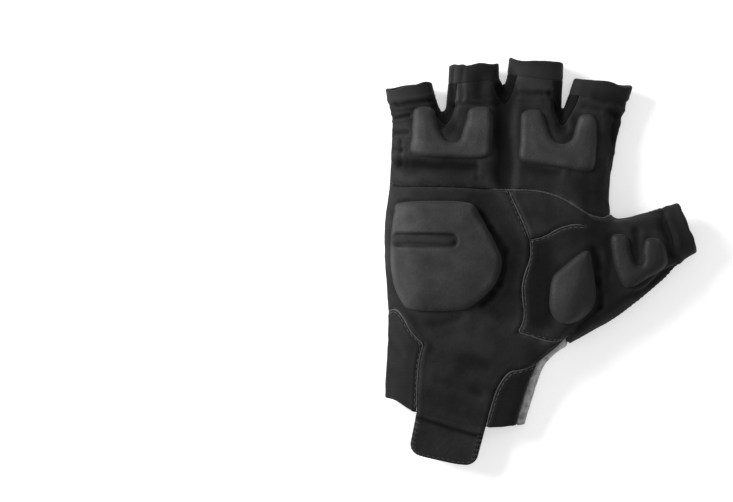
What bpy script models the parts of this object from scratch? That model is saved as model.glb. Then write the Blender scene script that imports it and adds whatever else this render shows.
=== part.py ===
"""A half-finger cycling glove for the right hand, lying on its back with the palm up.

Metres. +X points to the thumb, +Y to the fingers and +Z up, out of the palm.
The origin is on the flat back that the glove rests on, under the middle of the palm.
"""
import math

import bmesh
import bpy
from mathutils import Vector
from mathutils.bvhtree import BVHTree

# Overall sizes. The tables below hold shares of PALM_WIDTH across and of GLOVE_LENGTH along.
PALM_WIDTH = 0.100
GLOVE_LENGTH = 0.165
PALM_THICKNESS = 0.024
FINGER_THICKNESS = 0.0125
THUMB_THICKNESS = 0.0135
CUFF_THICKNESS = 0.0135

# Cloth and leather
PALM_WALL = 0.0013
BACK_WALL = 0.0012
GUSSET_WALL = 0.0010
HEM_WALL = 0.0017
HEM_LENGTH = 0.0070
SEAM_GAP = 0.0003
SIDE_TURN = 0.0045
FINGER_LIFT = 0.0014
THUMB_LIFT = 0.0030
THUMB_FULLNESS = 0.0045
THUMB_RISE = 0.0022

# Pads, pull tab and reflective trim
PAD_GAP = 0.0004
PAD_EDGE = 0.0007
GEL_PAD_HEIGHT = 0.0030
SMALL_PAD_HEIGHT = 0.0022
SLOT_WIDTH = 0.0050
SLOT_DEPTH = 0.0018
TAB_LENGTH = 0.0190
TAB_THICKNESS = 0.0020
TAB_LEAN = -13.0
TAB_END_HEIGHT = 0.0108
STRIP_WIDTH = 0.0070
STRIP_LENGTH = 0.0230
STRIP_THICKNESS = 0.0003
STRIP_GAP = 0.0003
BAR_LENGTH = 0.0009
BAR_PITCH = 0.0019
BAR_COUNT = 4

# A pattern line crosses the glove from the little finger's side to the thumb's side. Its nine points
# are: outline, little finger, web, ring finger, web, middle finger, web, index finger, outline.
PALM_LINES = {
    "crotch": ((-.513, .398), (-.387, .393), (-.266, .395), (-.135, .406), (.000, .478),
               (.126, .409), (.252, .395), (.387, .385), (.522, .382)),
    "pads": ((-.505, .305), (-.385, .305), (-.266, .305), (-.135, .305), (-.010, .300),
             (.117, .297), (.240, .268), (.352, .205), (.442, .215)),
    "knuckle": ((-.526, .226), (-.396, .228), (-.288, .234), (-.158, .242), (-.030, .246),
                (.117, .236), (.258, .196), (.370, .138), (.468, .126)),
    "inset": ((-.548, .150), (-.409, .148), (-.288, .130), (-.081, .086), (.212, .031),
              (.238, .098), (.312, .132), (.372, .131), (.462, .112)),
    "palm_high": ((-.556, .075), (-.414, .069), (-.292, .052), (-.090, .015), (.095, .000),
                  (.216, .010), (.300, .045), (.376, .075), (.450, .035)),
    "palm_low": ((-.550, .010), (-.414, -.004), (-.292, -.023), (-.060, -.062), (.052, -.083),
                 (.202, -.090), (.283, -.098), (.355, -.102), (.418, -.096)),
    "thumb": ((-.536, -.035), (-.409, -.078), (-.292, -.098), (-.040, -.146), (.175, -.172),
              (.200, -.188), (.226, -.198), (.250, -.204), (.275, -.207)),
    "heel": ((-.528, -.068), (-.448, -.152), (-.401, -.210), (-.301, -.235), (-.202, -.254),
             (-.108, -.270), (-.022, -.284), (.085, -.264), (.175, -.245)),
    "cuff": ((-.545, -.346), (-.459, -.367), (-.405, -.387), (-.324, -.398), (-.247, -.409),
             (-.167, -.420), (-.085, -.428), (.007, -.425), (.099, -.420)),
}
BACK_LINES = {
    "crotch": ((-.513, .420), (-.387, .425), (-.279, .436), (-.135, .458), (-.004, .515),
               (.126, .466), (.256, .445), (.387, .417), (.522, .395)),
    "knuckle": ((-.526, .245), (-.396, .251), (-.283, .254), (-.149, .254), (-.009, .251),
                (.126, .237), (.256, .210), (.373, .169), (.468, .131)),
    "thumb": ((-.536, -.060), (-.418, -.014), (-.310, .027), (-.193, .049), (-.081, .046),
              (.022, .005), (.103, -.057), (.185, -.136), (.275, -.207)),
    "heel": ((-.530, -.155), (-.433, -.129), (-.340, -.107), (-.237, -.096), (-.136, -.101),
             (-.042, -.131), (.036, -.175), (.112, -.225), (.175, -.250)),
    "cuff": ((-.545, -.346), (-.463, -.360), (-.401, -.374), (-.324, -.385), (-.247, -.395),
             (-.171, -.404), (-.085, -.412), (.007, -.417), (.099, -.420)),
}

# Rows of the pattern from the fingers down: name, palm line pair with the share between them, back
# line pair with its share, swell of the hand from its end thickness to the palm's, and the share of
# the fingers' lift that the back has there.
ROWS = (
    ("crotch", ("crotch", "crotch", 0), ("crotch", "crotch", 0), .20, .90),
    ("pads", ("pads", "pads", 0), ("crotch", "knuckle", 1 / 2), .60, .70),
    ("knuckle", ("knuckle", "knuckle", 0), ("knuckle", "knuckle", 0), .85, 0),
    ("inset", ("inset", "inset", 0), ("knuckle", "thumb", 1 / 4), 1.0, 0),
    ("palm_high", ("palm_high", "palm_high", 0), ("knuckle", "thumb", 2 / 4), 1.0, 0),
    ("palm_low", ("palm_low", "palm_low", 0), ("knuckle", "thumb", 3 / 4), .95, 0),
    ("thumb", ("thumb", "thumb", 0), ("thumb", "thumb", 0), .75, 0),
    ("heel", ("heel", "heel", 0), ("heel", "heel", 0), .42, 0),
    ("wrist", ("heel", "cuff", 1 / 2), ("heel", "cuff", 1 / 2), .15, 0),
    ("cuff", ("cuff", "cuff", 0), ("cuff", "cuff", 0), .00, 0),
)
KNUCKLE_ROW = 2
THUMB_END_ROW = 6
WIDEST_ROW = 4

# Height of the nine palm points as a share of the thickness there; the middle is slightly cupped.
PALM_CROWN = (.80, .97, 1.00, .98, .95, .95, .98, .98, .82)
THUMB_ROOT_HEIGHT = .72
SIDE_HEIGHT = .45
BACK_EDGE_HEIGHT = .07
WEB_HEIGHT = .50

# Openings: name, centre across and along, width in metres, turn of the opening and lean of the
# tube in degrees, both clockwise from straight up the glove.
FINGERS = (
    ("little", -.432, .498, .0222, -10, -13),
    ("ring", -.139, .556, .0238, -2, -1),
    ("middle", .140, .567, .0258, 4, 4),
    ("index", .442, .508, .0275, 8, 18),
)
THUMB = ("thumb", .819, .116, .0252, 69, 69)

# Sections of a tube: share of the half width and of the thickness, from one palm edge to the other.
FINGER_SECTION = ((-.62, .93), (0, 1.0), (.62, .93))
THUMB_SECTION = ((-.68, .90), (-.36, .98), (0, 1.0), (.36, .98), (.68, .90))
# A subdivided cage draws in from its side points, so these stand out past the outline.
FINGER_SIDE = 1.19
THUMB_SIDE = 1.16
OUTLINE_SPREAD = .5

# Creases that run across the palm: ends across and along, half width and depth in metres.
CREASES = (
    ("under_outer_pad", -.48, .262, -.05, .258, .0035, .0016),
    ("under_inner_pad", .05, .250, .40, .215, .0035, .0013),
    ("between_pads", -.005, .40, -.005, .24, .0035, .0022),
    ("beside_gel_pad", -.16, .20, .02, .02, .0040, .0013),
    ("under_gel_pad", .02, .00, -.12, -.11, .0040, .0011),
    ("wrist", -.36, -.20, .00, -.24, .0050, .0012),
)

# Pads, one row for each station along the pad: both edges, across and along.
PADS = {
    "gel_pad": ((-.468, .185, -.175, .185), (-.482, .160, -.115, .150), (-.488, .110, -.065, .105),
                (-.490, .065, -.025, .060), (-.490, .015, -.010, .018), (-.484, -.035, -.045, -.035),
                (-.462, -.080, -.105, -.075), (-.415, -.108, -.200, -.108)),
    "outer_finger_pad": ((-.404, .441, -.324, .441), (-.416, .405, -.308, .405),
                         (-.418, .365, -.290, .372), (-.416, .316, -.262, .350),
                         (-.250, .305, -.245, .345), (-.084, .308, -.205, .352),
                         (-.060, .355, -.190, .380), (-.055, .400, -.172, .410),
                         (-.070, .440, -.158, .440)),
    "inner_finger_pad": ((.080, .431, .160, .433), (.070, .390, .185, .395),
                         (.068, .345, .205, .362), (.074, .298, .235, .345),
                         (.235, .280, .262, .342), (.384, .270, .300, .355),
                         (.408, .322, .312, .378), (.412, .375, .326, .405),
                         (.402, .419, .338, .422)),
    "thumb_heel_pad": ((.376, .050, .338, .047), (.388, .015, .262, .010), (.400, -.028, .212, -.018),
                       (.405, -.070, .198, -.062), (.390, -.105, .198, -.105),
                       (.340, -.134, .225, -.134), (.300, -.144, .262, -.146)),
    "thumb_pad": ((.492, .092, .530, .090), (.492, .050, .553, .050), (.510, -.005, .580, .020),
                  (.552, -.046, .612, .012), (.640, -.020, .632, .022), (.722, .010, .628, .048),
                  (.722, .048, .636, .062), (.695, .078, .648, .082)),
}
SLOT = (-.486, .098, -.235, .088)

BLACK_MESH = (0.012, 0.012, 0.013)
BLACK_LEATHER = (0.020, 0.020, 0.021)
PAD_LEATHER = (0.030, 0.030, 0.031)
DARK_KNIT = (0.028, 0.028, 0.029)
HEM_CLOTH = (0.016, 0.016, 0.017)
GREY_CLOTH = (0.28, 0.28, 0.285)
REFLECTIVE = (0.80, 0.81, 0.83)


def place(across, along, height=0.0):
    """A point from its shares across and along the glove and its height in metres."""
    return Vector((across * PALM_WIDTH, along * GLOVE_LENGTH, height))


def material(name, colour, roughness, metallic=0.0):
    made = bpy.data.materials.new(name)
    made.use_nodes = True
    shader = made.node_tree.nodes["Principled BSDF"]
    shader.inputs["Base Color"].default_value = (*colour, 1.0)
    shader.inputs["Roughness"].default_value = roughness
    shader.inputs["Metallic"].default_value = metallic
    made.diffuse_color = (*colour, 1.0)
    return made


# The panels of the skin: name, material and wall. The order gives each its tag on the cage's faces.
PANELS = (
    ("finger_palm_panel", "leather", PALM_WALL),
    ("palm_panel", "leather", PALM_WALL),
    ("index_inset", "leather", PALM_WALL),
    ("thumb_palm_panel", "leather", PALM_WALL),
    ("cuff_outer_panel", "knit", BACK_WALL),
    ("cuff_inner_panel", "knit", BACK_WALL),
    ("back_panel", "mesh", BACK_WALL),
    ("back_cuff_panel", "grey", BACK_WALL),
    ("thumb_back_panel", "mesh", BACK_WALL),
    ("gusset_little_ring", "knit", GUSSET_WALL),
    ("gusset_ring_middle", "knit", GUSSET_WALL),
    ("gusset_middle_index", "knit", GUSSET_WALL),
    ("hem_little", "hem", HEM_WALL),
    ("hem_ring", "hem", HEM_WALL),
    ("hem_middle", "hem", HEM_WALL),
    ("hem_index", "hem", HEM_WALL),
    ("hem_thumb", "hem", HEM_WALL),
)
TAG = {panel[0]: index for index, panel in enumerate(PANELS)}
GUSSETS = ("gusset_little_ring", "gusset_ring_middle", "gusset_middle_index")


def line_between(lines, first, second, share):
    """The nine points between two pattern lines, as shares."""
    return [
        tuple(a + (b - a) * share for a, b in zip(start, end))
        for start, end in zip(lines[first], lines[second])
    ]


def thickness_at(row, swell):
    end = FINGER_THICKNESS if row < WIDEST_ROW else CUFF_THICKNESS
    return end + (PALM_THICKNESS - end) * swell


def body_ring(cage, row):
    """One row of the cage: nine palm points, the thumb side, nine back points and the outer side."""
    _, palm_lines, back_lines, swell, lifted = ROWS[row]
    thickness = thickness_at(row, swell)
    palm = line_between(PALM_LINES, *palm_lines)
    back = line_between(BACK_LINES, *back_lines)
    open_side = KNUCKLE_ROW < row < THUMB_END_ROW
    if open_side:
        back[8] = palm[8]

    def turned_in(point, column):
        if column == 0:
            return point + Vector((SIDE_TURN, 0, 0))
        if column == 8 and not open_side:
            return point - Vector((SIDE_TURN, 0, 0))
        return point

    crowns = PALM_CROWN[:8] + (THUMB_ROOT_HEIGHT if open_side else PALM_CROWN[8],)
    top = [
        turned_in(place(*point, thickness * crown), column)
        for column, (point, crown) in enumerate(zip(palm, crowns))
    ]
    lift = FINGER_LIFT * lifted
    edge = lift + thickness * BACK_EDGE_HEIGHT
    bottom = [
        turned_in(place(*point, edge if column in (0, 8) else lift), column)
        for column, point in enumerate(back)
    ]
    sides = []
    for column, outwards in ((8, 1), (0, -1)):
        side = (place(*palm[column]) + place(*back[column])) / 2
        side.x += outwards * SIDE_TURN * OUTLINE_SPREAD
        side.z = thickness * SIDE_HEIGHT
        sides.append(side)
    points = top + [sides[0]] + bottom[::-1] + [sides[1]]
    ring = [cage.verts.new(point) for point in points]
    if open_side:
        cage.verts.remove(ring[9])
        ring[9] = None
    return ring


def body_tag(row, side):
    """The panel of the face between this row and the next; side counts round the ring."""
    if side < 8:
        if row < KNUCKLE_ROW:
            return "finger_palm_panel"
        if row == KNUCKLE_ROW and 4 <= side <= 6:
            return "index_inset"
        if row < THUMB_END_ROW and side >= 4:
            return "thumb_palm_panel"
        if row > THUMB_END_ROW and side < 2:
            return "cuff_outer_panel"
        if row > THUMB_END_ROW and side > 5:
            return "cuff_inner_panel"
        return "palm_panel"
    if side == 19 and row >= KNUCKLE_ROW:
        return "cuff_outer_panel" if row > THUMB_END_ROW else "palm_panel"
    if side in (8, 19) and row < KNUCKLE_ROW:
        return "finger_palm_panel"
    return "back_panel" if row < THUMB_END_ROW else "back_cuff_panel"


def band(cage, upper, lower, tag_of):
    """Faces between two rings of the same count; a ring with a missing point leaves its faces out."""
    count = len(upper)
    for side in range(count):
        after = (side + 1) % count
        corners = (upper[side], lower[side], lower[after], upper[after])
        if None in corners:
            continue
        face = cage.faces.new(corners)
        face.material_index = TAG[tag_of(side)]


def opening_ring(row, section, side_spread, thickness, lift, back_off=0.0):
    """Points round a finger's or the thumb's tube at its opening, or back_off down the tube."""
    _, across, along, width, turn, lean = row
    turn, lean = math.radians(turn), math.radians(lean)
    sideways = Vector((math.cos(turn), -math.sin(turn), 0))
    down_tube = Vector((math.sin(lean), math.cos(lean), 0)) * -back_off
    centre = place(across, along, lift) + down_tube
    half = width / 2
    palm = [(share * half, height * thickness) for share, height in section]
    back = [(share * half, (1 - height) * thickness) for share, height in section[::-1]]
    side = side_spread * half
    middle = thickness / 2
    around = palm + [(side, middle)] + back + [(-side, middle)]
    return [centre + sideways * u + Vector((0, 0, z)) for u, z in around]


def tube(cage, base, hem_ring, end_ring, between, tags, hem, fullness=None):
    """A tube from its base ring up to the hem, with this many rings between, and the hem itself.
    Fullness gives how far each point of a ring halfway up stands out from the straight line."""
    below = base
    fullness = fullness or [Vector()] * len(base)
    for step in range(1, between + 2):
        share = step / (between + 1)
        full = math.sin(math.pi * share)
        ring = [
            cage.verts.new(vert.co.lerp(point, share) + out * full)
            for vert, point, out in zip(base, hem_ring, fullness)
        ]
        band(cage, ring, below, tags)
        below = ring
    end = [cage.verts.new(point) for point in end_ring]
    band(cage, end, below, lambda side: hem)


def finger_tags(number):
    """Which panel each side of a finger's tube belongs to."""
    def tag_of(side):
        if side in (2, 3) and number < 3:
            return GUSSETS[number]
        if side in (6, 7) and number > 0:
            return GUSSETS[number - 1]
        return "finger_palm_panel" if side in (0, 1, 2, 7) else "back_panel"
    return tag_of


def thumb_tags(side):
    return "thumb_palm_panel" if side < 5 or side == 11 else "thumb_back_panel"


def thumb_fullness():
    """The thumb stands out towards the wrist, and its palm side rises."""
    turn = math.radians(THUMB[4])
    wristwards = Vector((math.cos(turn), -math.sin(turn), 0))
    sides = [share for share, _ in THUMB_SECTION]
    around = sides + [THUMB_SIDE] + sides[::-1] + [-THUMB_SIDE]
    rises = [THUMB_RISE] * len(sides) + [THUMB_RISE / 2] + [0] * len(sides) + [0]
    return [
        wristwards * THUMB_FULLNESS * (side + 1) / 2 + Vector((0, 0, rise))
        for side, rise in zip(around, rises)
    ]


def skin_cage():
    """The coarse cage of the glove's outer skin, open at the cuff, the fingers and the thumb."""
    cage = bmesh.new()
    rings = [body_ring(cage, row) for row in range(len(ROWS))]
    for row in range(len(ROWS) - 1):
        band(cage, rings[row], rings[row + 1], lambda side, row=row: body_tag(row, side))
    crotch = rings[0]
    webs = []
    for column in (2, 4, 6):
        middle = crotch[column].co.lerp(crotch[18 - column].co, WEB_HEIGHT)
        webs.append(cage.verts.new(middle))
    left_sides = [crotch[19]] + webs
    right_sides = webs + [crotch[9]]
    for number, finger in enumerate(FINGERS):
        first = 2 * number
        palm = crotch[first:first + 3]
        back = crotch[16 - first:19 - first]
        base = palm + [right_sides[number]] + back + [left_sides[number]]
        shape = (finger, FINGER_SECTION, FINGER_SIDE, FINGER_THICKNESS, FINGER_LIFT)
        tube(cage, base, opening_ring(*shape, HEM_LENGTH), opening_ring(*shape), 1,
             finger_tags(number), "hem_" + finger[0])
    hole = range(KNUCKLE_ROW, THUMB_END_ROW + 1)
    base = [rings[row][8] for row in hole] + [rings[THUMB_END_ROW][9]]
    base += [rings[row][10] for row in reversed(hole)] + [rings[KNUCKLE_ROW][9]]
    shape = (THUMB, THUMB_SECTION, THUMB_SIDE, THUMB_THICKNESS, THUMB_LIFT)
    tube(cage, base, opening_ring(*shape, HEM_LENGTH), opening_ring(*shape), 2,
         thumb_tags, "hem_thumb", thumb_fullness())
    return cage


def crease_depth(point):
    """How far the creases draw the palm in at this point."""
    depth = 0.0
    for _, x0, y0, x1, y1, half_width, deepest in CREASES:
        start, end = place(x0, y0), place(x1, y1)
        flat = Vector((point.x, point.y, 0))
        run = end - start
        share = max(0.0, min(1.0, (flat - start).dot(run) / run.length_squared))
        away = (flat - start - run * share).length
        depth += deepest * math.exp(-(away / half_width) ** 2)
    return depth


def smooth_skin(helpers):
    """The skin after one subdivision, with the palm's creases pressed in, as a bmesh."""
    cage = skin_cage()
    mesh = bpy.data.meshes.new("skin_cage")
    cage.to_mesh(mesh)
    cage.free()
    obj = bpy.data.objects.new("skin_cage", mesh)
    helpers.objects.link(obj)
    obj.hide_render = True
    obj.display_type = 'WIRE'
    subdivision = obj.modifiers.new("Smooth", 'SUBSURF')
    subdivision.levels = 1
    subdivision.render_levels = 1
    bpy.context.view_layer.update()
    evaluated = obj.evaluated_get(bpy.context.evaluated_depsgraph_get())
    skin = bmesh.new()
    skin.from_mesh(evaluated.to_mesh())
    evaluated.to_mesh_clear()
    skin.normal_update()
    facing = {vert: max(0.0, vert.normal.z) for vert in skin.verts}
    for vert, up in facing.items():
        vert.co.z -= crease_depth(vert.co) * up
    skin.normal_update()
    skin.verts.index_update()
    return skin


def in_by_half_gap(vert, faces):
    """How far a border point of a panel moves in from its seam to leave half of the seam gap."""
    inwards = []
    for edge in vert.link_edges:
        own = [face for face in edge.link_faces if face in faces]
        if len(own) != 1 or edge.is_boundary:
            continue
        along = (edge.verts[1].co - edge.verts[0].co).normalized()
        middle = (edge.verts[0].co + edge.verts[1].co) / 2
        inward = own[0].calc_center_median() - middle
        inward -= along * inward.dot(along)
        inwards.append(inward.normalized())
    if not inwards:
        return Vector()
    if len(inwards) == 1:
        return inwards[0] * SEAM_GAP / 2
    spread = 1 + inwards[0].dot(inwards[1])
    return (inwards[0] + inwards[1]) / max(spread, .5) * SEAM_GAP / 2


def panel_solid(skin, name, wall, finish, parts):
    """A panel of the skin as a closed solid. Its wall follows the whole skin's normals, so that the
    edges of two panels that meet stay parallel."""
    tag = TAG[name]
    faces = {face for face in skin.faces if face.material_index == tag}
    verts = sorted({vert for face in faces for vert in face.verts}, key=lambda vert: vert.index)
    solid = bmesh.new()
    outer, inner = {}, {}
    for vert in verts:
        point = vert.co + in_by_half_gap(vert, faces)
        outer[vert] = solid.verts.new(point)
        inner[vert] = solid.verts.new(point - vert.normal * wall)
    for face in sorted(faces, key=lambda face: face.index):
        corners = list(face.verts)
        solid.faces.new([outer[vert] for vert in corners])
        solid.faces.new([inner[vert] for vert in reversed(corners)])
        for start, end in zip(corners, corners[1:] + corners[:1]):
            edge = skin.edges.get((start, end))
            if sum(other in faces for other in edge.link_faces) == 1:
                solid.faces.new((outer[end], outer[start], inner[start], inner[end]))
    return finished(solid, name, finish, parts)


def finished(solid, name, finish, parts):
    """The bmesh as an object with its material, smooth where the facets nearly agree."""
    mesh = bpy.data.meshes.new(name)
    solid.to_mesh(mesh)
    solid.free()
    mesh.materials.append(finish)
    mesh.shade_smooth()
    mesh.set_sharp_from_angle(angle=math.radians(45))
    obj = bpy.data.objects.new(name, mesh)
    parts.objects.link(obj)
    return obj


def between_stations(stations):
    """The stations with one more between each two, on a smooth curve through them."""
    padded = (stations[0],) + tuple(stations) + (stations[-1],)
    dense = []
    for before, start, end, after in zip(padded, padded[1:], padded[2:], padded[3:]):
        dense.append(start)
        dense.append(tuple(
            (9 * (b + c) - a - d) / 16 for a, b, c, d in zip(before, start, end, after)
        ))
    dense.append(stations[-1])
    return dense


def pad_solid(name, tree, finish, parts, height, across):
    """A crowned pad that follows the palm under it. Stations run along it, points across it."""
    stations = between_stations(PADS[name])
    solid = bmesh.new()
    top, bottom = [], []
    last = len(stations) - 1
    for number, (x0, y0, x1, y1) in enumerate(stations):
        along = 2 * number / last - 1
        upper, lower = [], []
        for step in range(across + 1):
            side = 2 * step / across - 1
            flat = place(x0, y0).lerp(place(x1, y1), step / across)
            ground = on_skin(tree, flat, -1) + PAD_GAP
            crown = (1 - side ** 4) * (1 - abs(along) ** 7)
            lower.append(solid.verts.new((flat.x, flat.y, ground)))
            rise = PAD_EDGE + (height - PAD_EDGE) * crown
            upper.append(solid.verts.new((flat.x, flat.y, ground + rise)))
        top.append(upper)
        bottom.append(lower)
    close_slab(solid, top, bottom)
    return finished(solid, name, finish, parts)


def close_slab(solid, top, bottom):
    """Faces over a grid's top and bottom and round its rim."""
    rows, columns = len(top), len(top[0])
    for r in range(rows - 1):
        for c in range(columns - 1):
            corners = ((r, c), (r + 1, c), (r + 1, c + 1), (r, c + 1))
            solid.faces.new([top[i][j] for i, j in corners])
            solid.faces.new([bottom[i][j] for i, j in reversed(corners)])
    rim = [(r, 0) for r in range(rows)]
    rim += [(rows - 1, c) for c in range(1, columns)]
    rim += [(r, columns - 1) for r in range(rows - 2, -1, -1)]
    rim += [(0, c) for c in range(columns - 2, 0, -1)]
    for (i, j), (k, m) in zip(rim, rim[1:] + rim[:1]):
        solid.faces.new((top[k][m], top[i][j], bottom[i][j], bottom[k][m]))
    bmesh.ops.recalc_face_normals(solid, faces=solid.faces)


def on_skin(tree, flat, direction):
    """Height of the skin at a point of the plan, looking down on the palm or up at the back."""
    start = Vector((flat.x, flat.y, -direction * PALM_THICKNESS * 3))
    hit, _, _, _ = tree.ray_cast(start, Vector((0, 0, direction)))
    return hit.z


def cut_slot(pad, tree, helpers):
    """The round-ended slot that runs into the gel pad from its outer side."""
    start, end = place(*SLOT[:2]), place(*SLOT[2:])
    run = end - start
    reach = max(vert.co.z for vert in pad.data.vertices) + GEL_PAD_HEIGHT
    turn = math.atan2(run.y, run.x)
    floor = on_skin(tree, (start + end) / 2, -1) + PAD_GAP + GEL_PAD_HEIGHT - SLOT_DEPTH
    cutter = bmesh.new()
    outline = []
    half = SLOT_WIDTH / 2
    for step in range(9):
        angle = turn - math.pi / 2 + math.pi * step / 8
        outline.append(end + Vector((math.cos(angle), math.sin(angle), 0)) * half)
    sideways = Vector((-run.y, run.x, 0)).normalized() * half
    outline += [start + sideways - run * .2, start - sideways - run * .2]
    face = cutter.faces.new([cutter.verts.new((p.x, p.y, floor)) for p in outline])
    made = bmesh.ops.extrude_face_region(cutter, geom=[face])
    for vert in [item for item in made["geom"] if isinstance(item, bmesh.types.BMVert)]:
        vert.co.z = reach
    bmesh.ops.recalc_face_normals(cutter, faces=cutter.faces)
    mesh = bpy.data.meshes.new("slot_cutter")
    cutter.to_mesh(mesh)
    cutter.free()
    obj = bpy.data.objects.new("slot_cutter", mesh)
    helpers.objects.link(obj)
    obj.hide_render = True
    obj.display_type = 'WIRE'
    cut = pad.modifiers.new("Slot", 'BOOLEAN')
    cut.object = obj
    cut.operation = 'DIFFERENCE'


def tab_root(skin):
    """The palm panel's points along the cuff, from its outer side to its thumb side."""
    tag = TAG["palm_panel"]
    edge_verts = {
        vert for edge in skin.edges if edge.is_boundary and edge.link_faces[0].material_index == tag
        for vert in edge.verts
    }
    return sorted(edge_verts, key=lambda vert: vert.co.x)


def pull_tab(skin, finish, parts):
    """The folded tab that carries on from the palm past the cuff and droops a little."""
    root = [vert.co.copy() for vert in tab_root(skin)]
    lean = math.radians(TAB_LEAN)
    down = Vector((math.sin(lean), -math.cos(lean), 0))
    middle = (root[0] + root[-1]) / 2
    # Share of the length, share of the root's width, and share of the droop.
    stations = ((0, 1, 0), (.18, .99, .08), (.40, .97, .34), (.62, .94, .68), (.80, .89, .90),
                (.93, .78, .98), (1, .58, 1))
    solid = bmesh.new()
    top, bottom = [], []
    for length, width, droop in stations:
        upper, lower = [], []
        for point in root:
            flat = middle + (point - middle) * width
            flat += down * (SEAM_GAP + TAB_LENGTH * length)
            level = (point.z - middle.z) * (1 - droop)
            height = middle.z + (TAB_END_HEIGHT - middle.z) * droop + level
            upper.append(solid.verts.new((flat.x, flat.y, height)))
            lower.append(solid.verts.new((flat.x, flat.y, height - TAB_THICKNESS)))
        top.append(upper)
        bottom.append(lower)
    close_slab(solid, top, bottom)
    return finished(solid, "pull_tab", finish, parts)


def reflective_trim(tree, finish, parts):
    """The film on the back of the index finger: a long strip and short bars below it."""
    _, across, along, _, _, lean = FINGERS[3]
    lean = math.radians(lean)
    down = Vector((-math.sin(lean), -math.cos(lean), 0))
    sideways = Vector((math.cos(lean), -math.sin(lean), 0))
    tip = place(across, along) + down * HEM_LENGTH * .15
    pieces = [("reflective_strip", 0, STRIP_LENGTH, 10)]
    for number in range(BAR_COUNT):
        start = STRIP_LENGTH + BAR_PITCH * (number + .6)
        pieces.append((f"reflective_bar_{number + 1}", start, start + BAR_LENGTH, 1))
    for name, start, end, steps in pieces:
        solid = bmesh.new()
        near, far = [], []
        for row in range(steps + 1):
            inner, outer = [], []
            for column in range(5):
                flat = tip + down * (start + (end - start) * row / steps)
                flat += sideways * STRIP_WIDTH * (column / 4 - .5)
                ground = on_skin(tree, flat, 1) - STRIP_GAP
                inner.append(solid.verts.new((flat.x, flat.y, ground)))
                outer.append(solid.verts.new((flat.x, flat.y, ground - STRIP_THICKNESS)))
            near.append(inner)
            far.append(outer)
        close_slab(solid, near, far)
        finished(solid, name, finish, parts)


def build():
    for obj in list(bpy.data.objects):
        bpy.data.objects.remove(obj, do_unlink=True)
    parts = bpy.data.collections.new("cycling_glove")
    helpers = bpy.data.collections.new("cutters")
    for collection in (parts, helpers):
        bpy.context.scene.collection.children.link(collection)
    finishes = {
        "leather": material("palm_leather", BLACK_LEATHER, .80),
        "pad": material("pad_leather", PAD_LEATHER, .75),
        "knit": material("dark_knit", DARK_KNIT, .90),
        "mesh": material("back_mesh", BLACK_MESH, .85),
        "hem": material("hem_cloth", HEM_CLOTH, .88),
        "grey": material("grey_cloth", GREY_CLOTH, .85),
        "reflective": material("reflective_film", REFLECTIVE, .35, .3),
    }
    skin = smooth_skin(helpers)
    for name, finish, wall in PANELS:
        panel_solid(skin, name, wall, finishes[finish], parts)
    tree = BVHTree.FromBMesh(skin)
    gel_pad = pad_solid("gel_pad", tree, finishes["pad"], parts, GEL_PAD_HEIGHT, 12)
    cut_slot(gel_pad, tree, helpers)
    for name in list(PADS)[1:]:
        pad_solid(name, tree, finishes["pad"], parts, SMALL_PAD_HEIGHT, 6)
    pull_tab(skin, finishes["leather"], parts)
    reflective_trim(tree, finishes["reflective"], parts)
    skin.free()


build()
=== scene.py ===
import math

import bmesh
import bpy
import numpy as np
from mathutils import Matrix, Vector, geometry, noise
from mathutils.bvhtree import BVHTree
from mathutils.kdtree import KDTree


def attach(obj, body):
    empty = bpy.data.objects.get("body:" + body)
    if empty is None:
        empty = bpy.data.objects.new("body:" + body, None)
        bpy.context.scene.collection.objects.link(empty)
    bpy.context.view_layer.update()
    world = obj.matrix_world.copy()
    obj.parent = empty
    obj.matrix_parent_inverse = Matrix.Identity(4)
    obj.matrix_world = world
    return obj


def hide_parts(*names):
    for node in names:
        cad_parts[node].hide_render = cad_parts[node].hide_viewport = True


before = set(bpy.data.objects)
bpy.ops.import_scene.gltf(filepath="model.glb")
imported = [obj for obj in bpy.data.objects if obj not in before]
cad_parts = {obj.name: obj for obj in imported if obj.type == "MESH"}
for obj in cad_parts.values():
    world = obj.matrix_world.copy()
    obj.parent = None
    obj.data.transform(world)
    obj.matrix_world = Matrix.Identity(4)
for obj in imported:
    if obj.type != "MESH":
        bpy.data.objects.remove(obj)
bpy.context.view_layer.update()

mm = 0.001
print("frame loaded:", len(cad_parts), "nodes")


# Vectors of length 1 along the last axis of an array.
def unit(vectors):
    return vectors / np.maximum(np.linalg.norm(vectors, axis=-1, keepdims=True), 1e-12)


# 1 in the middle and almost 0 at twice the width.
def bell(away, width, power=2):
    return np.exp(-(away / width) ** power)


def lengthsAlong(points):
    return np.r_[0, np.cumsum(np.linalg.norm(np.diff(points, axis=0), axis=1))]


def pointsAt(wanted, along, points):
    return np.stack([np.interp(wanted, along, column) for column in points.T], axis=-1)


# The pattern of the glove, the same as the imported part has. Metres, and shares of width and length.
glove = {
    "palmWidth": 0.100,
    "length": 0.165,
    "palmThickness": 0.024,
    "fingerThickness": 0.0125,
    "thumbThickness": 0.0135,
    "cuffThickness": 0.0135,
    "hemLength": 0.0070,
    "sideTurn": 0.0045,
    "outlineSpread": 0.5,
    "fingerLift": 0.0014,
    "thumbLift": 0.0030,
    "thumbFullness": 0.0045,
    "thumbRise": 0.0022,
    "thumbRoot": 0.72,
    "sideHeight": 0.45,
    "backEdge": 0.07,
    "webHeight": 0.50,
    "fingerSide": 1.19,
    "thumbSide": 1.16,
    "fineLevels": 3,  # subdivisions after the first one, which carries the creases
}

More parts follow.
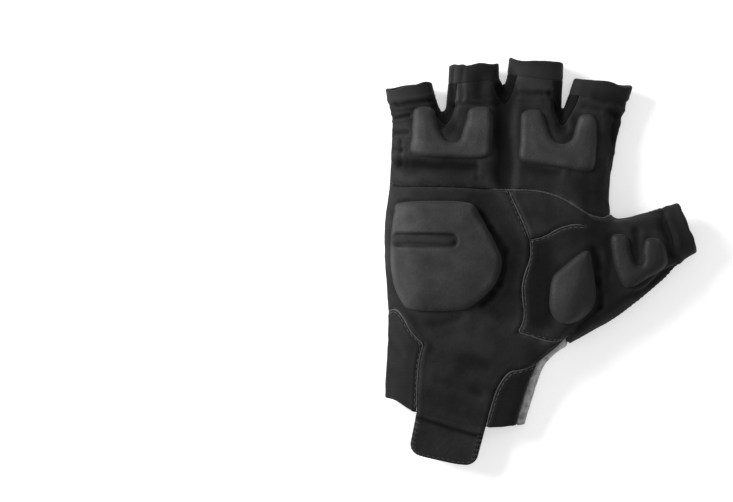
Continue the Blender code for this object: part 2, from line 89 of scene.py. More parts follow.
# Each line has nine points from the little finger's side to the thumb's side: across, along.
palmLines = {
    "crotch": ((-.513, .398), (-.387, .393), (-.266, .395), (-.135, .406), (.000, .478),
               (.126, .409), (.252, .395), (.387, .385), (.522, .382)),
    "pads": ((-.505, .305), (-.385, .305), (-.266, .305), (-.135, .305), (-.010, .300),
             (.117, .297), (.240, .268), (.352, .205), (.442, .215)),
    "knuckle": ((-.526, .226), (-.396, .228), (-.288, .234), (-.158, .242), (-.030, .246),
                (.117, .236), (.258, .196), (.370, .138), (.468, .126)),
    "inset": ((-.548, .150), (-.409, .148), (-.288, .130), (-.081, .086), (.212, .031),
              (.238, .098), (.312, .132), (.372, .131), (.462, .112)),
    "palmHigh": ((-.556, .075), (-.414, .069), (-.292, .052), (-.090, .015), (.095, .000),
                 (.216, .010), (.300, .045), (.376, .075), (.450, .035)),
    "palmLow": ((-.550, .010), (-.414, -.004), (-.292, -.023), (-.060, -.062), (.052, -.083),
                (.202, -.090), (.283, -.098), (.355, -.102), (.418, -.096)),
    "thumb": ((-.536, -.035), (-.409, -.078), (-.292, -.098), (-.040, -.146), (.175, -.172),
              (.200, -.188), (.226, -.198), (.250, -.204), (.275, -.207)),
    "heel": ((-.528, -.068), (-.448, -.152), (-.401, -.210), (-.301, -.235), (-.202, -.254),
             (-.108, -.270), (-.022, -.284), (.085, -.264), (.175, -.245)),
    "cuff": ((-.545, -.346), (-.459, -.367), (-.405, -.387), (-.324, -.398), (-.247, -.409),
             (-.167, -.420), (-.085, -.428), (.007, -.425), (.099, -.420)),
}
backLines = {
    "crotch": ((-.513, .420), (-.387, .425), (-.279, .436), (-.135, .458), (-.004, .515),
               (.126, .466), (.256, .445), (.387, .417), (.522, .395)),
    "knuckle": ((-.526, .245), (-.396, .251), (-.283, .254), (-.149, .254), (-.009, .251),
                (.126, .237), (.256, .210), (.373, .169), (.468, .131)),
    "thumb": ((-.536, -.060), (-.418, -.014), (-.310, .027), (-.193, .049), (-.081, .046),
              (.022, .005), (.103, -.057), (.185, -.136), (.275, -.207)),
    "heel": ((-.530, -.155), (-.433, -.129), (-.340, -.107), (-.237, -.096), (-.136, -.101),
             (-.042, -.131), (.036, -.175), (.112, -.225), (.175, -.250)),
    "cuff": ((-.545, -.346), (-.463, -.360), (-.401, -.374), (-.324, -.385), (-.247, -.395),
             (-.171, -.404), (-.085, -.412), (.007, -.417), (.099, -.420)),
}
# Rows from the fingers down: palm lines and share between them, back lines and share, swell, lift.
patternRows = (
    (("crotch", "crotch", 0), ("crotch", "crotch", 0), .20, .90),
    (("pads", "pads", 0), ("crotch", "knuckle", 1 / 2), .60, .70),
    (("knuckle", "knuckle", 0), ("knuckle", "knuckle", 0), .85, 0),
    (("inset", "inset", 0), ("knuckle", "thumb", 1 / 4), 1.0, 0),
    (("palmHigh", "palmHigh", 0), ("knuckle", "thumb", 2 / 4), 1.0, 0),
    (("palmLow", "palmLow", 0), ("knuckle", "thumb", 3 / 4), .95, 0),
    (("thumb", "thumb", 0), ("thumb", "thumb", 0), .75, 0),
    (("heel", "heel", 0), ("heel", "heel", 0), .42, 0),
    (("heel", "cuff", 1 / 2), ("heel", "cuff", 1 / 2), .15, 0),
    (("cuff", "cuff", 0), ("cuff", "cuff", 0), .00, 0),
)
knuckleRow, widestRow, thumbEndRow = 2, 4, 6
palmCrown = (.80, .97, 1.00, .98, .95, .95, .98, .98, .82)
# Openings: across, along, width in metres, turn and lean in degrees.
fingers = (
    ("little", -.432, .498, .0222, -10, -13),
    ("ring", -.139, .556, .0238, -2, -1),
    ("middle", .140, .567, .0258, 4, 4),
    ("index", .442, .508, .0275, 8, 18),
)
thumb = ("thumb", .819, .116, .0252, 69, 69)
fingerSection = ((-.62, .93), (0, 1.0), (.62, .93))
thumbSection = ((-.68, .90), (-.36, .98), (0, 1.0), (.36, .98), (.68, .90))

# The panels of the skin: node, finish, wall. The order gives each its tag on the cage's faces.
panels = (
    ("finger_palm_panel", "leather", .0013),
    ("palm_panel", "leather", .0013),
    ("index_inset", "leather", .0013),
    ("thumb_palm_panel", "leather", .0013),
    ("cuff_outer_panel", "knit", .0012),
    ("cuff_inner_panel", "knit", .0012),
    ("back_panel", "mesh", .0012),
    ("back_cuff_panel", "grey", .0012),
    ("thumb_back_panel", "mesh", .0012),
    ("gusset_little_ring", "web", .0010),
    ("gusset_ring_middle", "web", .0010),
    ("gusset_middle_index", "web", .0010),
    ("hem_little", "hem", .0017),
    ("hem_ring", "hem", .0017),
    ("hem_middle", "hem", .0017),
    ("hem_index", "hem", .0017),
    ("hem_thumb", "hem", .0017),
)
tagOf = {panel[0]: index for index, panel in enumerate(panels)}
gussets = [panel[0] for panel in panels if panel[0].startswith("gusset")]


def place(across, along, height=0.0):
    return Vector((across * glove["palmWidth"], along * glove["length"], height))


def lineBetween(lines, first, second, share):
    return [tuple(a + (b - a) * share for a, b in zip(start, end))
            for start, end in zip(lines[first], lines[second])]


def bodyRing(cage, row):
    palmPart, backPart, swell, lifted = patternRows[row]
    end = glove["fingerThickness"] if row < widestRow else glove["cuffThickness"]
    thickness = end + (glove["palmThickness"] - end) * swell
    palm = lineBetween(palmLines, *palmPart)
    back = lineBetween(backLines, *backPart)
    openSide = knuckleRow < row < thumbEndRow  # the thumb opens here
    if openSide:
        back[8] = palm[8]
    turned = {0: glove["sideTurn"], 8: 0 if openSide else -glove["sideTurn"]}
    crowns = palmCrown[:8] + ((glove["thumbRoot"] if openSide else palmCrown[8]),)
    lift = glove["fingerLift"] * lifted
    edge = lift + thickness * glove["backEdge"]
    top, bottom = [], []
    for column in range(9):
        inwards = Vector((turned.get(column, 0), 0, 0))
        top.append(place(*palm[column], thickness * crowns[column]) + inwards)
        bottom.append(place(*back[column], edge if column in (0, 8) else lift) + inwards)
    sides = []
    for column, outwards in ((8, 1), (0, -1)):
        side = (place(*palm[column]) + place(*back[column])) / 2
        side.x += outwards * glove["sideTurn"] * glove["outlineSpread"]
        side.z = thickness * glove["sideHeight"]
        sides.append(side)
    ring = [cage.verts.new(point) for point in top + [sides[0]] + bottom[::-1] + [sides[1]]]
    if openSide:
        cage.verts.remove(ring[9])
        ring[9] = None
    return ring


def bodyTag(row, side):
    if side < 8:
        if row < knuckleRow:
            return "finger_palm_panel"
        if row == knuckleRow and 4 <= side <= 6:
            return "index_inset"
        if row < thumbEndRow and side >= 4:
            return "thumb_palm_panel"
        if row > thumbEndRow and side < 2:
            return "cuff_outer_panel"
        if row > thumbEndRow and side > 5:
            return "cuff_inner_panel"
        return "palm_panel"
    if side == 19 and row >= knuckleRow:
        return "cuff_outer_panel" if row > thumbEndRow else "palm_panel"
    if side in (8, 19) and row < knuckleRow:
        return "finger_palm_panel"
    return "back_panel" if row < thumbEndRow else "back_cuff_panel"


def band(cage, upper, lower, nameAt):
    count = len(upper)
    for side in range(count):
        after = (side + 1) % count
        corners = (upper[side], lower[side], lower[after], upper[after])
        if None not in corners:
            cage.faces.new(corners).material_index = tagOf[nameAt(side)]


def openingRing(row, section, sideSpread, thickness, lift, backOff=0.0):
    _, across, along, width, turn, lean = row
    turn, lean = math.radians(turn), math.radians(lean)
    sideways = Vector((math.cos(turn), -math.sin(turn), 0))
    centre = place(across, along, lift) - Vector((math.sin(lean), math.cos(lean), 0)) * backOff
    half = width / 2
    palm = [(share * half, height * thickness) for share, height in section]
    back = [(share * half, (1 - height) * thickness) for share, height in section[::-1]]
    side = sideSpread * half
    around = palm + [(side, thickness / 2)] + back + [(-side, thickness / 2)]
    return [centre + sideways * u + Vector((0, 0, z)) for u, z in around]


def tube(cage, base, hemRing, endRing, between, nameAt, hem, fullness=None):
    below = base
    fullness = fullness or [Vector()] * len(base)
    for step in range(1, between + 2):
        share = step / (between + 1)
        full = math.sin(math.pi * share)
        ring = [cage.verts.new(vert.co.lerp(point, share) + out * full)
                for vert, point, out in zip(base, hemRing, fullness)]
        band(cage, ring, below, nameAt)
        below = ring
    band(cage, [cage.verts.new(point) for point in endRing], below, lambda side: hem)


def fingerTag(number, side):
    if side in (2, 3) and number < 3:
        return gussets[number]
    if side in (6, 7) and number > 0:
        return gussets[number - 1]
    return "finger_palm_panel" if side in (0, 1, 2, 7) else "back_panel"


def thumbTag(side):
    return "thumb_palm_panel" if side < 5 or side == 11 else "thumb_back_panel"


def thumbOut():
    turn = math.radians(thumb[4])
    wristwards = Vector((math.cos(turn), -math.sin(turn), 0))
    sides = [share for share, _ in thumbSection]
    around = sides + [glove["thumbSide"]] + sides[::-1] + [-glove["thumbSide"]]
    rises = [glove["thumbRise"]] * 5 + [glove["thumbRise"] / 2] + [0] * 6
    return [wristwards * glove["thumbFullness"] * (side + 1) / 2 + Vector((0, 0, rise))
            for side, rise in zip(around, rises)]


def skinCage():
    cage = bmesh.new()
    rings = [bodyRing(cage, row) for row in range(len(patternRows))]
    for row in range(len(rings) - 1):
        band(cage, rings[row], rings[row + 1], lambda side, row=row: bodyTag(row, side))
    crotch = rings[0]
    webs = [cage.verts.new(crotch[c].co.lerp(crotch[18 - c].co, glove["webHeight"])) for c in (2, 4, 6)]
    leftSides, rightSides = [crotch[19]] + webs, webs + [crotch[9]]
    for number, finger in enumerate(fingers):
        first = 2 * number
        base = crotch[first:first + 3] + [rightSides[number]]
        base += crotch[16 - first:19 - first] + [leftSides[number]]
        shape = (finger, fingerSection, glove["fingerSide"], glove["fingerThickness"], glove["fingerLift"])
        tube(cage, base, openingRing(*shape, glove["hemLength"]), openingRing(*shape), 1,
             lambda side, number=number: fingerTag(number, side), "hem_" + finger[0])
    hole = range(knuckleRow, thumbEndRow + 1)
    base = [rings[row][8] for row in hole] + [rings[thumbEndRow][9]]
    base += [rings[row][10] for row in reversed(hole)] + [rings[knuckleRow][9]]
    shape = (thumb, thumbSection, glove["thumbSide"], glove["thumbThickness"], glove["thumbLift"])
    tube(cage, base, openingRing(*shape, glove["hemLength"]), openingRing(*shape), 2,
         thumbTag, "hem_thumb", thumbOut())
    return cage


def subdivided(mesh, levels):
    holder = bpy.data.objects.new("skinHolder", mesh)
    bpy.context.scene.collection.objects.link(holder)
    smooth = holder.modifiers.new("Smooth", 'SUBSURF')
    smooth.levels = smooth.render_levels = levels
    bpy.context.view_layer.update()
    evaluated = holder.evaluated_get(bpy.context.evaluated_depsgraph_get())
    made = bpy.data.meshes.new_from_object(evaluated)
    bpy.data.objects.remove(holder, do_unlink=True)
    return made


def meshArrays(mesh):
    points, corners = np.empty(len(mesh.vertices) * 3), np.empty(len(mesh.loops), dtype=np.int64)
    tags = np.empty(len(mesh.polygons), dtype=np.int64)
    mesh.vertices.foreach_get("co", points)
    mesh.loops.foreach_get("vertex_index", corners)
    mesh.polygons.foreach_get("material_index", tags)
    return points.reshape(-1, 3), corners.reshape(-1, 4), tags


def vertexNormals(points, quads):
    corners = points[quads]
    facing = np.cross(corners[:, 2] - corners[:, 0], corners[:, 3] - corners[:, 1])
    normals = np.zeros_like(points)
    for corner in range(4):
        np.add.at(normals, quads[:, corner], facing)
    return unit(normals)


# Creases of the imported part: ends across and along, half width and depth in metres.
creases = (
    (-.48, .262, -.05, .258, .0035, .0016),
    (.05, .250, .40, .215, .0035, .0013),
    (-.005, .40, -.005, .24, .0035, .0022),
    (-.16, .20, .02, .02, .0040, .0013),
    (.02, .00, -.12, -.11, .0040, .0011),
    (-.36, -.20, .00, -.24, .0050, .0012),
)


def distanceToLine(flat, start, end):
    run = end - start
    share = np.clip((flat - start) @ run / (run @ run), 0, 1)
    return np.linalg.norm(flat - start - share[:, None] * run, axis=1)


def flatPlace(across, along):
    return np.array((across * glove["palmWidth"], along * glove["length"]))


# The distance to a line of a table, whose ends are given across and along.
def awayFromRow(flat, x0, y0, x1, y1):
    return distanceToLine(flat, flatPlace(x0, y0), flatPlace(x1, y1))


def fineSkin():
    cage = skinCage()
    mesh = bpy.data.meshes.new("skinCage")
    cage.to_mesh(mesh)
    cage.free()
    first = subdivided(mesh, 1)
    points, quads, _ = meshArrays(first)
    facing = np.maximum(vertexNormals(points, quads)[:, 2], 0)
    for *ends, halfWidth, deepest in creases:
        points[:, 2] -= deepest * bell(awayFromRow(points[:, :2], *ends), halfWidth) * facing
    first.vertices.foreach_set("co", points.ravel())
    first.update()
    return meshArrays(subdivided(first, glove["fineLevels"]))


# Every edge of the skin where two panels meet, by their tags, and the open edges by their panel.
def seamEdges(quads, tags):
    starts, ends = quads.reshape(-1), np.roll(quads, -1, axis=1).reshape(-1)
    owners = np.repeat(tags, 4)
    low, high = np.minimum(starts, ends), np.maximum(starts, ends)
    order = np.lexsort((high, low))
    low, high, owners = low[order], high[order], owners[order]
    same = np.r_[(low[1:] == low[:-1]) & (high[1:] == high[:-1]), False]
    follows = np.r_[False, same[:-1]]
    seams, openings = {}, {}
    for index in np.flatnonzero(same & (owners != np.roll(owners, -1))):
        pair = tuple(sorted((int(owners[index]), int(owners[index + 1]))))
        seams.setdefault(pair, []).append((int(low[index]), int(high[index])))
    for index in np.flatnonzero(~same & ~follows):
        openings.setdefault(int(owners[index]), []).append((int(low[index]), int(high[index])))
    return seams, openings


# Edges joined into runs of points; a closed run repeats its first point at the end.
def runsOf(edges):
    links = {}
    for a, b in edges:
        links.setdefault(a, []).append(b)
        links.setdefault(b, []).append(a)
    waiting, runs = set(links), []
    for start in sorted(links, key=lambda vert: (len(links[vert]) != 1, vert)):
        if start not in waiting:
            continue
        run, here = [start], start
        waiting.discard(start)
        while True:
            following = [vert for vert in links[here] if vert in waiting]
            if not following:
                break
            here = following[0]
            waiting.discard(here)
            run.append(here)
        if len(run) > 2 and run[0] in links[run[-1]]:
            run.append(run[0])
        runs.append(run)
    return runs


def resampled(points, spacing):
    along = lengthsAlong(points)
    count = max(2, int(round(along[-1] / spacing)) + 1)
    return pointsAt(np.linspace(0, along[-1], count), along, points)


def smoothed(points, rounds, closed=False):
    points = points.copy()
    for _ in range(rounds):
        if closed:
            ring = points[:-1] if np.allclose(points[0], points[-1]) else points
            ring = ring / 2 + (np.roll(ring, 1, axis=0) + np.roll(ring, -1, axis=0)) / 4
            points = np.vstack((ring, ring[:1]))
        else:
            points[1:-1] = points[1:-1] / 2 + (points[2:] + points[:-2]) / 4
    return points


def nearestDistances(points, targets, most=0.02):
    tree = KDTree(len(targets))
    for index, target in enumerate(targets):
        tree.insert(target, index)
    tree.balance()
    return np.array([min(tree.find(point)[2], most) for point in points])


def noiseAt(points, size, seed=0.0):
    shift = Vector((seed * 3.1, seed * 1.7, seed * 2.3))
    return np.array([noise.noise(Vector(point) / size + shift) for point in points])


# Waves of a height and size.
def waved(points, look, seed=0.0):
    return look[0] * noiseAt(points, look[1], seed)


print("skin: subdividing the pattern cage")
skinPoints, skinQuads, skinTags = fineSkin()
skinSeams, skinOpenings = seamEdges(skinQuads, skinTags)
restPoints, restNormals = skinPoints, vertexNormals(skinPoints, skinQuads)


# The pads of the palm: stations along both edges, across and along. The gel pad's outer edge
# reaches 2 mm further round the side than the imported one.
padStations = {
    "gel_pad": ((-.466, .184, -.178, .184), (-.496, .158, -.115, .150), (-.510, .110, -.074, .105),
                (-.515, .065, -.036, .060), (-.515, .015, -.017, .018), (-.502, -.035, -.045, -.035),
                (-.472, -.080, -.105, -.075), (-.415, -.108, -.200, -.108)),
    "outer_finger_pad": ((-.404, .441, -.324, .441), (-.416, .405, -.308, .405),
                         (-.418, .365, -.290, .372), (-.416, .316, -.262, .350),
                         (-.250, .305, -.245, .345), (-.084, .308, -.205, .352),
                         (-.060, .355, -.190, .380), (-.055, .400, -.172, .410),
                         (-.070, .440, -.158, .440)),
    "inner_finger_pad": ((.080, .431, .160, .433), (.070, .390, .185, .395),
                         (.068, .345, .205, .362), (.074, .298, .235, .345),
                         (.235, .280, .262, .342), (.384, .270, .300, .355),
                         (.408, .322, .312, .378), (.412, .375, .326, .405),
                         (.402, .419, .338, .422)),
    "thumb_heel_pad": ((.376, .050, .338, .047), (.388, .015, .262, .010), (.400, -.028, .212, -.018),
                       (.405, -.070, .198, -.062), (.390, -.105, .198, -.105),
                       (.340, -.134, .225, -.134), (.300, -.144, .262, -.146)),
    "thumb_pad": ((.478, .094, .545, .092), (.480, .050, .562, .050), (.500, -.005, .584, .016),
                  (.548, -.049, .606, .010), (.640, -.022, .622, .020), (.724, .010, .618, .048),
                  (.724, .048, .622, .064), (.697, .082, .632, .086)),
}
padLook = {
    # Height, width of the rounded side, extra height of the middle, and how tightly it is filled.
    "gel": (3.0 * mm, 3.2 * mm, 1.6 * mm, .85),
    "small": (2.1 * mm, 2.9 * mm, 0.85 * mm, .75),
    "crownWidth": 7 * mm,
    "sunk": 0.35 * mm,              # the underside lies this far into the leather
    "cornerRounds": 12,             # smoothing of the outline's corners
    "spacing": 0.62 * mm,
    "rings": (.035, .12, .26, .45, .70, 1.0),  # where rings of points go up the rounded side
    "groove": (0.42 * mm, 1.3 * mm),           # the palm is pressed in round each pad
    "waves": (0.14 * mm, 7 * mm),   # height and size
    "puckers": (0.11 * mm, 2.0 * mm),
    "puckerAt": 0.9 * mm,           # from the rim
    "leastRise": 0.05 * mm,
    "rimShade": .75,                # painted shade in the seam at the rim
    "rimShadeWidth": 0.55 * mm,
    "slot": (-.484, .082, -.246, .079),
    "slotWidth": 5.2 * mm,
    "slotDepth": 2.1 * mm,
    "slotGroove": 0.60 * mm,
    "slotEdge": 0.24 * mm,
    "slotPuff": 1.00 * mm,          # the slot's floor swells between two grooves
    "slotShade": .70,
    "grooveShade": .95,
}


# A closed outline round a pad, from its stations, with soft corners.
def padOutline(name):
    rows = np.array(padStations[name])
    scale = np.array((glove["palmWidth"], glove["length"]))
    first, second = rows[:, :2] * scale, rows[:, 2:] * scale
    loop = np.vstack((first, second[::-1], first[:1]))
    padded = np.vstack((loop[-2:-1], loop, loop[1:2]))
    dense = []
    for before, start, end, after in zip(padded, padded[1:], padded[2:], padded[3:]):
        for step in range(6):
            t = step / 6
            dense.append(.5 * (2 * start + (end - before) * t
                               + (2 * before - 5 * start + 4 * end - after) * t ** 2
                               + (3 * start - before - 3 * end + after) * t ** 3))
    dense.append(loop[-1])
    dense = resampled(np.array(dense), .45 * mm)
    return resampled(smoothed(dense, padLook["cornerRounds"], True), .5 * mm)


padOutlines = {name: padOutline(name) for name in padStations}

# Folds pressed into the skin: ends across and along, half width and depth in millimetres.
palmFolds = (
    (-.490, .452, -.333, .460, 1.1, .75),   # under the finger hems
    (-.222, .447, -.036, .452, 1.0, .60),
    (.052, .476, .205, .478, 1.0, .60),
    (.205, .478, .235, .440, 1.0, .50),
    (.360, .445, .520, .430, 1.2, .60),
    (-.230, .540, -.232, .450, .8, .45),    # upright folds on the ring and index fingers
    (-.190, .545, -.192, .460, .9, .50),
    (-.112, .515, -.122, .470, 2.8, .80),
    (.345, .505, .285, .405, 1.8, -.55),
    (.420, .470, .520, .462, 3.0, .75),
    (.470, .425, .530, .415, 1.5, .80),
    (.492, .428, .486, .345, 1.9, .95),     # index finger's side
    (.478, .300, .474, .240, 1.6, .50),
    (-.508, .416, -.438, .421, .8, .80),    # gathers at the little finger's side
    (-.500, .371, -.440, .375, .8, .75),
    (-.496, .330, -.446, .325, .9, .65),
    (-.500, .290, -.450, .285, 1.2, .45),
    (-.474, .350, -.478, .280, .9, .60),
    (-.126, .290, -.126, .246, .9, .45),
    (-.026, .480, -.026, .236, 2.5, 1.70),  # the flat valley between the two finger pads
    (.014, .480, .014, .236, 2.5, 1.70),
    (-.472, .286, -.150, .281, 2.5, 1.15),  # under the outer finger pad
    (.085, .270, .235, .262, 2.0, .50),
    (-.118, .170, -.060, .112, 1.5, .85),   # along the gel pad's inner edge
    (-.060, .112, -.002, .045, 1.5, .90),
    (-.002, .045, -.030, -.040, 1.5, .90),
    (-.030, -.040, -.098, -.092, 1.5, .80),
    (-.240, .440, -.275, .395, 1.8, 1.00),  # the webs
    (.232, .440, .262, .392, 1.8, .95),
    (-.470, .182, -.155, .180, 1.0, .55),   # above the gel pad
    (-.500, .235, -.180, .232, 1.4, .30),
    (.372, .255, .370, .150, 2.4, .45),     # index root
    (.100, .285, .250, .268, 1.3, .40),
    (-.090, .150, .010, .050, 2.6, .50),    # hollow of the palm
    (-.060, -.070, .090, -.072, 2.2, .35),
    (-.070, -.095, .020, -.120, 5.0, .60),
    (-.170, -.250, -.080, -.262, 4.5, .55), # heel of the palm
    (.010, -.205, .130, -.235, 5.0, .60),
    (-.140, -.165, .010, -.205, 6.0, -.55),
    (-.330, -.150, -.200, -.130, 2.4, .45),
    (-.420, -.130, -.330, -.215, 2.0, .35),
    (-.300, -.300, -.120, -.335, 2.0, .35),
    (-.120, -.330, .020, -.350, 2.6, .40),
    (.395, .055, .420, -.030, 1.9, .95),    # crease beside the leaf pad
    (.420, -.030, .430, -.100, 1.7, .95),
    (.430, -.100, .330, -.158, 1.2, .70),
    (.470, .080, .470, -.020, 1.6, .40),
    (.586, .105, .590, .034, 1.7, .60),     # between the arms of the thumb's pad
    (.585, -.062, .760, .012, 1.1, .80),    # below the thumb's pad
    (.700, .158, .752, .040, 2.0, .95),     # along the thumb's hem
    (.735, .130, .770, .060, 1.0, .40),
    (.500, -.075, .620, -.045, 2.2, -.35),
    (-.520, -.190, -.470, -.230, 1.6, .35), # outer cuff
    (-.530, -.270, -.470, -.285, 2.2, .30),
    (.160, -.270, .120, -.400, 2.4, .40),   # inner cuff
    (.100, -.300, .060, -.400, 1.8, .30),
)
backFolds = (
    (-.560, .030, -.440, .008, 1.5, .65),   # waves at the little finger's side
    (-.556, -.018, -.450, -.040, 1.5, .70),
    (-.550, -.062, -.455, -.085, 1.5, .65),
    (-.552, .078, -.450, .062, 1.4, .55),
    (-.545, -.110, -.470, -.128, 1.3, .50),
    (-.500, .300, -.350, .312, 2.0, .40),   # knuckles
    (-.220, .335, -.060, .345, 2.0, .40),
    (.060, .345, .220, .335, 2.0, .40),
    (.300, .300, .450, .262, 2.2, .45),
    (-.450, .430, -.420, .330, 2.6, -.30),
    (-.140, .480, -.130, .360, 2.8, -.30),
    (.140, .480, .125, .360, 2.8, -.30),
    (.430, .440, .390, .310, 2.8, -.30),
    (.160, .130, .330, .030, 4.0, .50),     # satin folds towards the thumb
    (.240, .190, .410, .100, 3.5, .40),
    (.120, .060, .240, -.060, 3.6, .45),
    (.480, .075, .590, -.045, 2.0, .90),    # back of the thumb
    (.560, .120, .700, -.020, 1.8, .80),
    (.650, .140, .760, .020, 1.6, .55),
    (.420, .030, .500, -.090, 2.4, .60),
    (-.360, -.230, -.180, -.215, 2.5, .30), # cuff
    (-.200, -.330, .000, -.350, 3.0, .30),
    (-.480, -.250, -.400, -.262, 1.8, .40),
)
# Painted shade on the palm, in its valleys, webs, creases and on sides turned from the light: ends across and
# along, half width in millimetres, share.
palmShades = (
    (-.006, .530, -.006, .238, 4.6, 1.0),   # between the two finger pads
    (-.470, .283, -.150, .281, 3.2, .50),   # under the outer finger pad
    (-.262, .455, -.248, .385, 3.0, .75),   # the finger webs
    (.236, .470, .250, .385, 3.0, .70),
    (-.118, .530, -.085, .470, 5.0, .45),
    (.488, .430, .484, .340, 2.6, .60),     # index finger's side
    (-.110, .190, .030, .040, 6.5, .62),    # between the gel pad and the inset
    (.030, .040, -.010, -.110, 6.5, .60),
    (.150, .060, .160, -.130, 6.5, .80),    # around the leaf pad
    (.250, .080, .440, .130, 5.0, .40),
    (.300, -.170, .560, -.080, 5.0, .35),
    (.460, .090, .470, -.090, 5.0, .35),
    (.560, .020, .565, .100, 2.0, .50),     # between the arms of the thumb's pad
    (.730, .130, .770, .040, 4.0, .30),
    (.040, -.300, .000, -.420, 12.0, .55),  # inner cuff
    (.700, .165, .780, .080, 6.0, .35),     # thumb's hem
    (.250, .400, .440, .260, 6.0, .25),
    (.360, .220, .430, .160, 6.0, .45),
    (-.300, -.160, -.160, -.150, 4.0, .30), # heel
    (-.330, -.350, -.130, -.385, 3.5, .35),
)
# Painted light: lighter patches where light falls on the fingers, the little finger's hem and the heel.
palmPaintedLights = (
    (-.218, .545, -.212, .462, 3.4, .55),   # ring finger, below its hem
    (.080, .522, .212, .522, 7.0, .55),     # middle finger
    (-.500, .476, -.370, .480, 4.0, .50),   # little finger's hem
    (-.210, -.170, -.100, -.235, 9.0, .35), # heel of the palm
)
surface = {
    "seamDip": (0.50 * mm, 0.85 * mm),             # depth and half width
    "quietDip": (0.07 * mm, 0.60 * mm),
    "insetEnd": .352,                              # across
    "turnedEdge": (0.24 * mm, 2.1 * mm, 1.0 * mm), # height, distance and half width of the seam allowance
    "pucker": (0.16 * mm, 2.6 * mm),               # height and size
    "puckerReach": 2.4 * mm,
    "softWaves": (0.55 * mm, 17 * mm),
    "smallWaves": (0.16 * mm, 5.0 * mm),
    "foldWander": (1.3 * mm, 9 * mm),              # how far folds stray from straight lines
    "foldLips": .30,                               # share of its depth that rises beside a fold
    "darkestFold": 1.05 * mm,                      # folds this deep get the full painted shade
    "hemWave": (1.5 * mm, 9 * mm),                 # the finger openings are cut a little wavy
    "hemWaveReach": 9 * mm,
    "openingHalf": .68,                            # half widths, as shares of an opening's width
    "crownHalf": .62,
    "fingerCrown": 1.5 * mm,
    "crownReach": 24 * mm,
    "floorClearance": 0.05 * mm,
}


def foldDepth(flat, folds):
    depth = np.zeros(len(flat))
    for *ends, halfWidth, deepest in folds:
        away = awayFromRow(flat, *ends) / (halfWidth * mm)
        depth += deepest * mm * (bell(away, 1) - surface["foldLips"] * bell(away - 2, .9))
    return depth


# How far points lie outwards from the middle of an opening, and sideways as a share of its width,
# with the outward way.
def fromOpening(points, opening):
    _, across, along, width, _, lean = opening
    angle = math.radians(lean)
    outwards = np.array((math.sin(angle), math.cos(angle)))
    fromCentre = points[:, :2] - flatPlace(across, along)
    return fromCentre @ outwards, fromCentre @ (outwards[::-1] * (1, -1)) / width, outwards


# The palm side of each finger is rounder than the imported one, most at its opening.
def fingerCrown(points, normals):
    lift = np.zeros(len(points))
    for opening in fingers:
        out, sideways, _ = fromOpening(points, opening)
        reach = np.clip(1 + out / surface["crownReach"], 0, 1)
        lift += surface["fingerCrown"] * reach * np.clip(1 - (sideways / surface["crownHalf"]) ** 2, 0, 1)
    return lift * np.clip(normals[:, 2] * 1.5, 0, 1)


# The edges of the finger openings wander up and down.
def openingWaves(points):
    moves = np.zeros_like(points)
    waves = waved(points, surface["hemWave"], 7)
    for opening in fingers + (thumb,):
        out, sideways, outwards = fromOpening(points, opening)
        reach = np.clip(1 + out / surface["hemWaveReach"], 0, 1)
        moves[:, :2] += np.outer(waves * reach ** 2 * (np.abs(sideways) < surface["openingHalf"]), outwards)
    return moves


# The seams of hems and finger webs hardly show, nor does the short end of the inset.
def isQuiet(pair):
    return any(panels[tag][0].startswith(("hem", "gusset")) for tag in pair)


def isInsetEnd(pair, points):
    short = pair == (tagOf["index_inset"], tagOf["thumb_palm_panel"])
    return points[:, 0] > (surface["insetEnd"] * glove["palmWidth"] if short else 1)


# Points on all seams, plain ones under False and quiet ones under True.
def seamSamples():
    samples = {True: [], False: []}
    for pair, edges in skinSeams.items():
        ends = restPoints[np.array(edges)]
        for share in (0, .33, .66):
            spots = ends[:, 0] + (ends[:, 1] - ends[:, 0]) * share
            quiet = isInsetEnd(pair, spots) | isQuiet(pair)
            samples[True].append(spots[quiet])
            samples[False].append(spots[~quiet])
    return samples


# Presses the seams, folds and pad edges into the skin, and gives each point its distance from
# the seams and its painted shade and light: above 0 in shaded folds and patches, below 0 where light is
# painted.
def dressedSkin():
    points, normals = restPoints, restNormals
    samples = seamSamples()
    seamAway, quietAway = (nearestDistances(points, np.vstack(samples[quiet])) for quiet in (False, True))
    outlines = np.vstack([np.column_stack((line, np.zeros(len(line)))) for line in padOutlines.values()])
    padAway = nearestDistances(points * (1, 1, 0), outlines)
    wander = np.stack([waved(points, surface["foldWander"], seed) for seed in (4, 5)], axis=1)
    flat = points[:, :2] + wander
    facing = np.clip(normals[:, 2] * 2.0, -1, 1)
    pressed = foldDepth(flat, palmFolds) * np.clip(facing, 0, 1)
    pressed += foldDepth(flat, backFolds) * np.clip(-facing, 0, 1)
    lift = -pressed
    for away, (depth, width) in ((seamAway, surface["seamDip"]), (quietAway, surface["quietDip"]),
                                 (padAway, padLook["groove"])):
        lift -= depth * bell(away, width) * (normals[:, 2] > .2 if away is padAway else 1)
    height, edgeAt, width = surface["turnedEdge"]
    lift += height * bell(seamAway - edgeAt, width)
    lift += waved(points, surface["pucker"], 1) * bell(seamAway, surface["puckerReach"])
    lift += waved(points, surface["softWaves"], 2) + waved(points, surface["smallWaves"], 3)
    moved = points + normals * lift[:, None] + openingWaves(points)
    moved[:, 2] += fingerCrown(points, normals)
    moved[:, 2] = np.maximum(moved[:, 2], surface["floorClearance"])
    # Painted shade: darker with the depth of the folds and in the listed shaded patches.
    paintedShade = np.clip(pressed / surface["darkestFold"], 0, 1)
    above = normals[:, 2] > 0
    for *ends, halfWidth, share in palmShades:
        paintedShade = np.maximum(paintedShade, share * bell(awayFromRow(flat, *ends), halfWidth * mm, 4) * above)
    # Painted light: these patches push the value below 0.
    for *ends, halfWidth, share in palmPaintedLights:
        patch = share * bell(awayFromRow(flat, *ends), halfWidth * mm, 4) * above
        paintedShade -= patch * np.clip(1 - 2 * paintedShade, 0, 1)
    return moved, vertexNormals(moved, skinQuads), seamAway, paintedShade


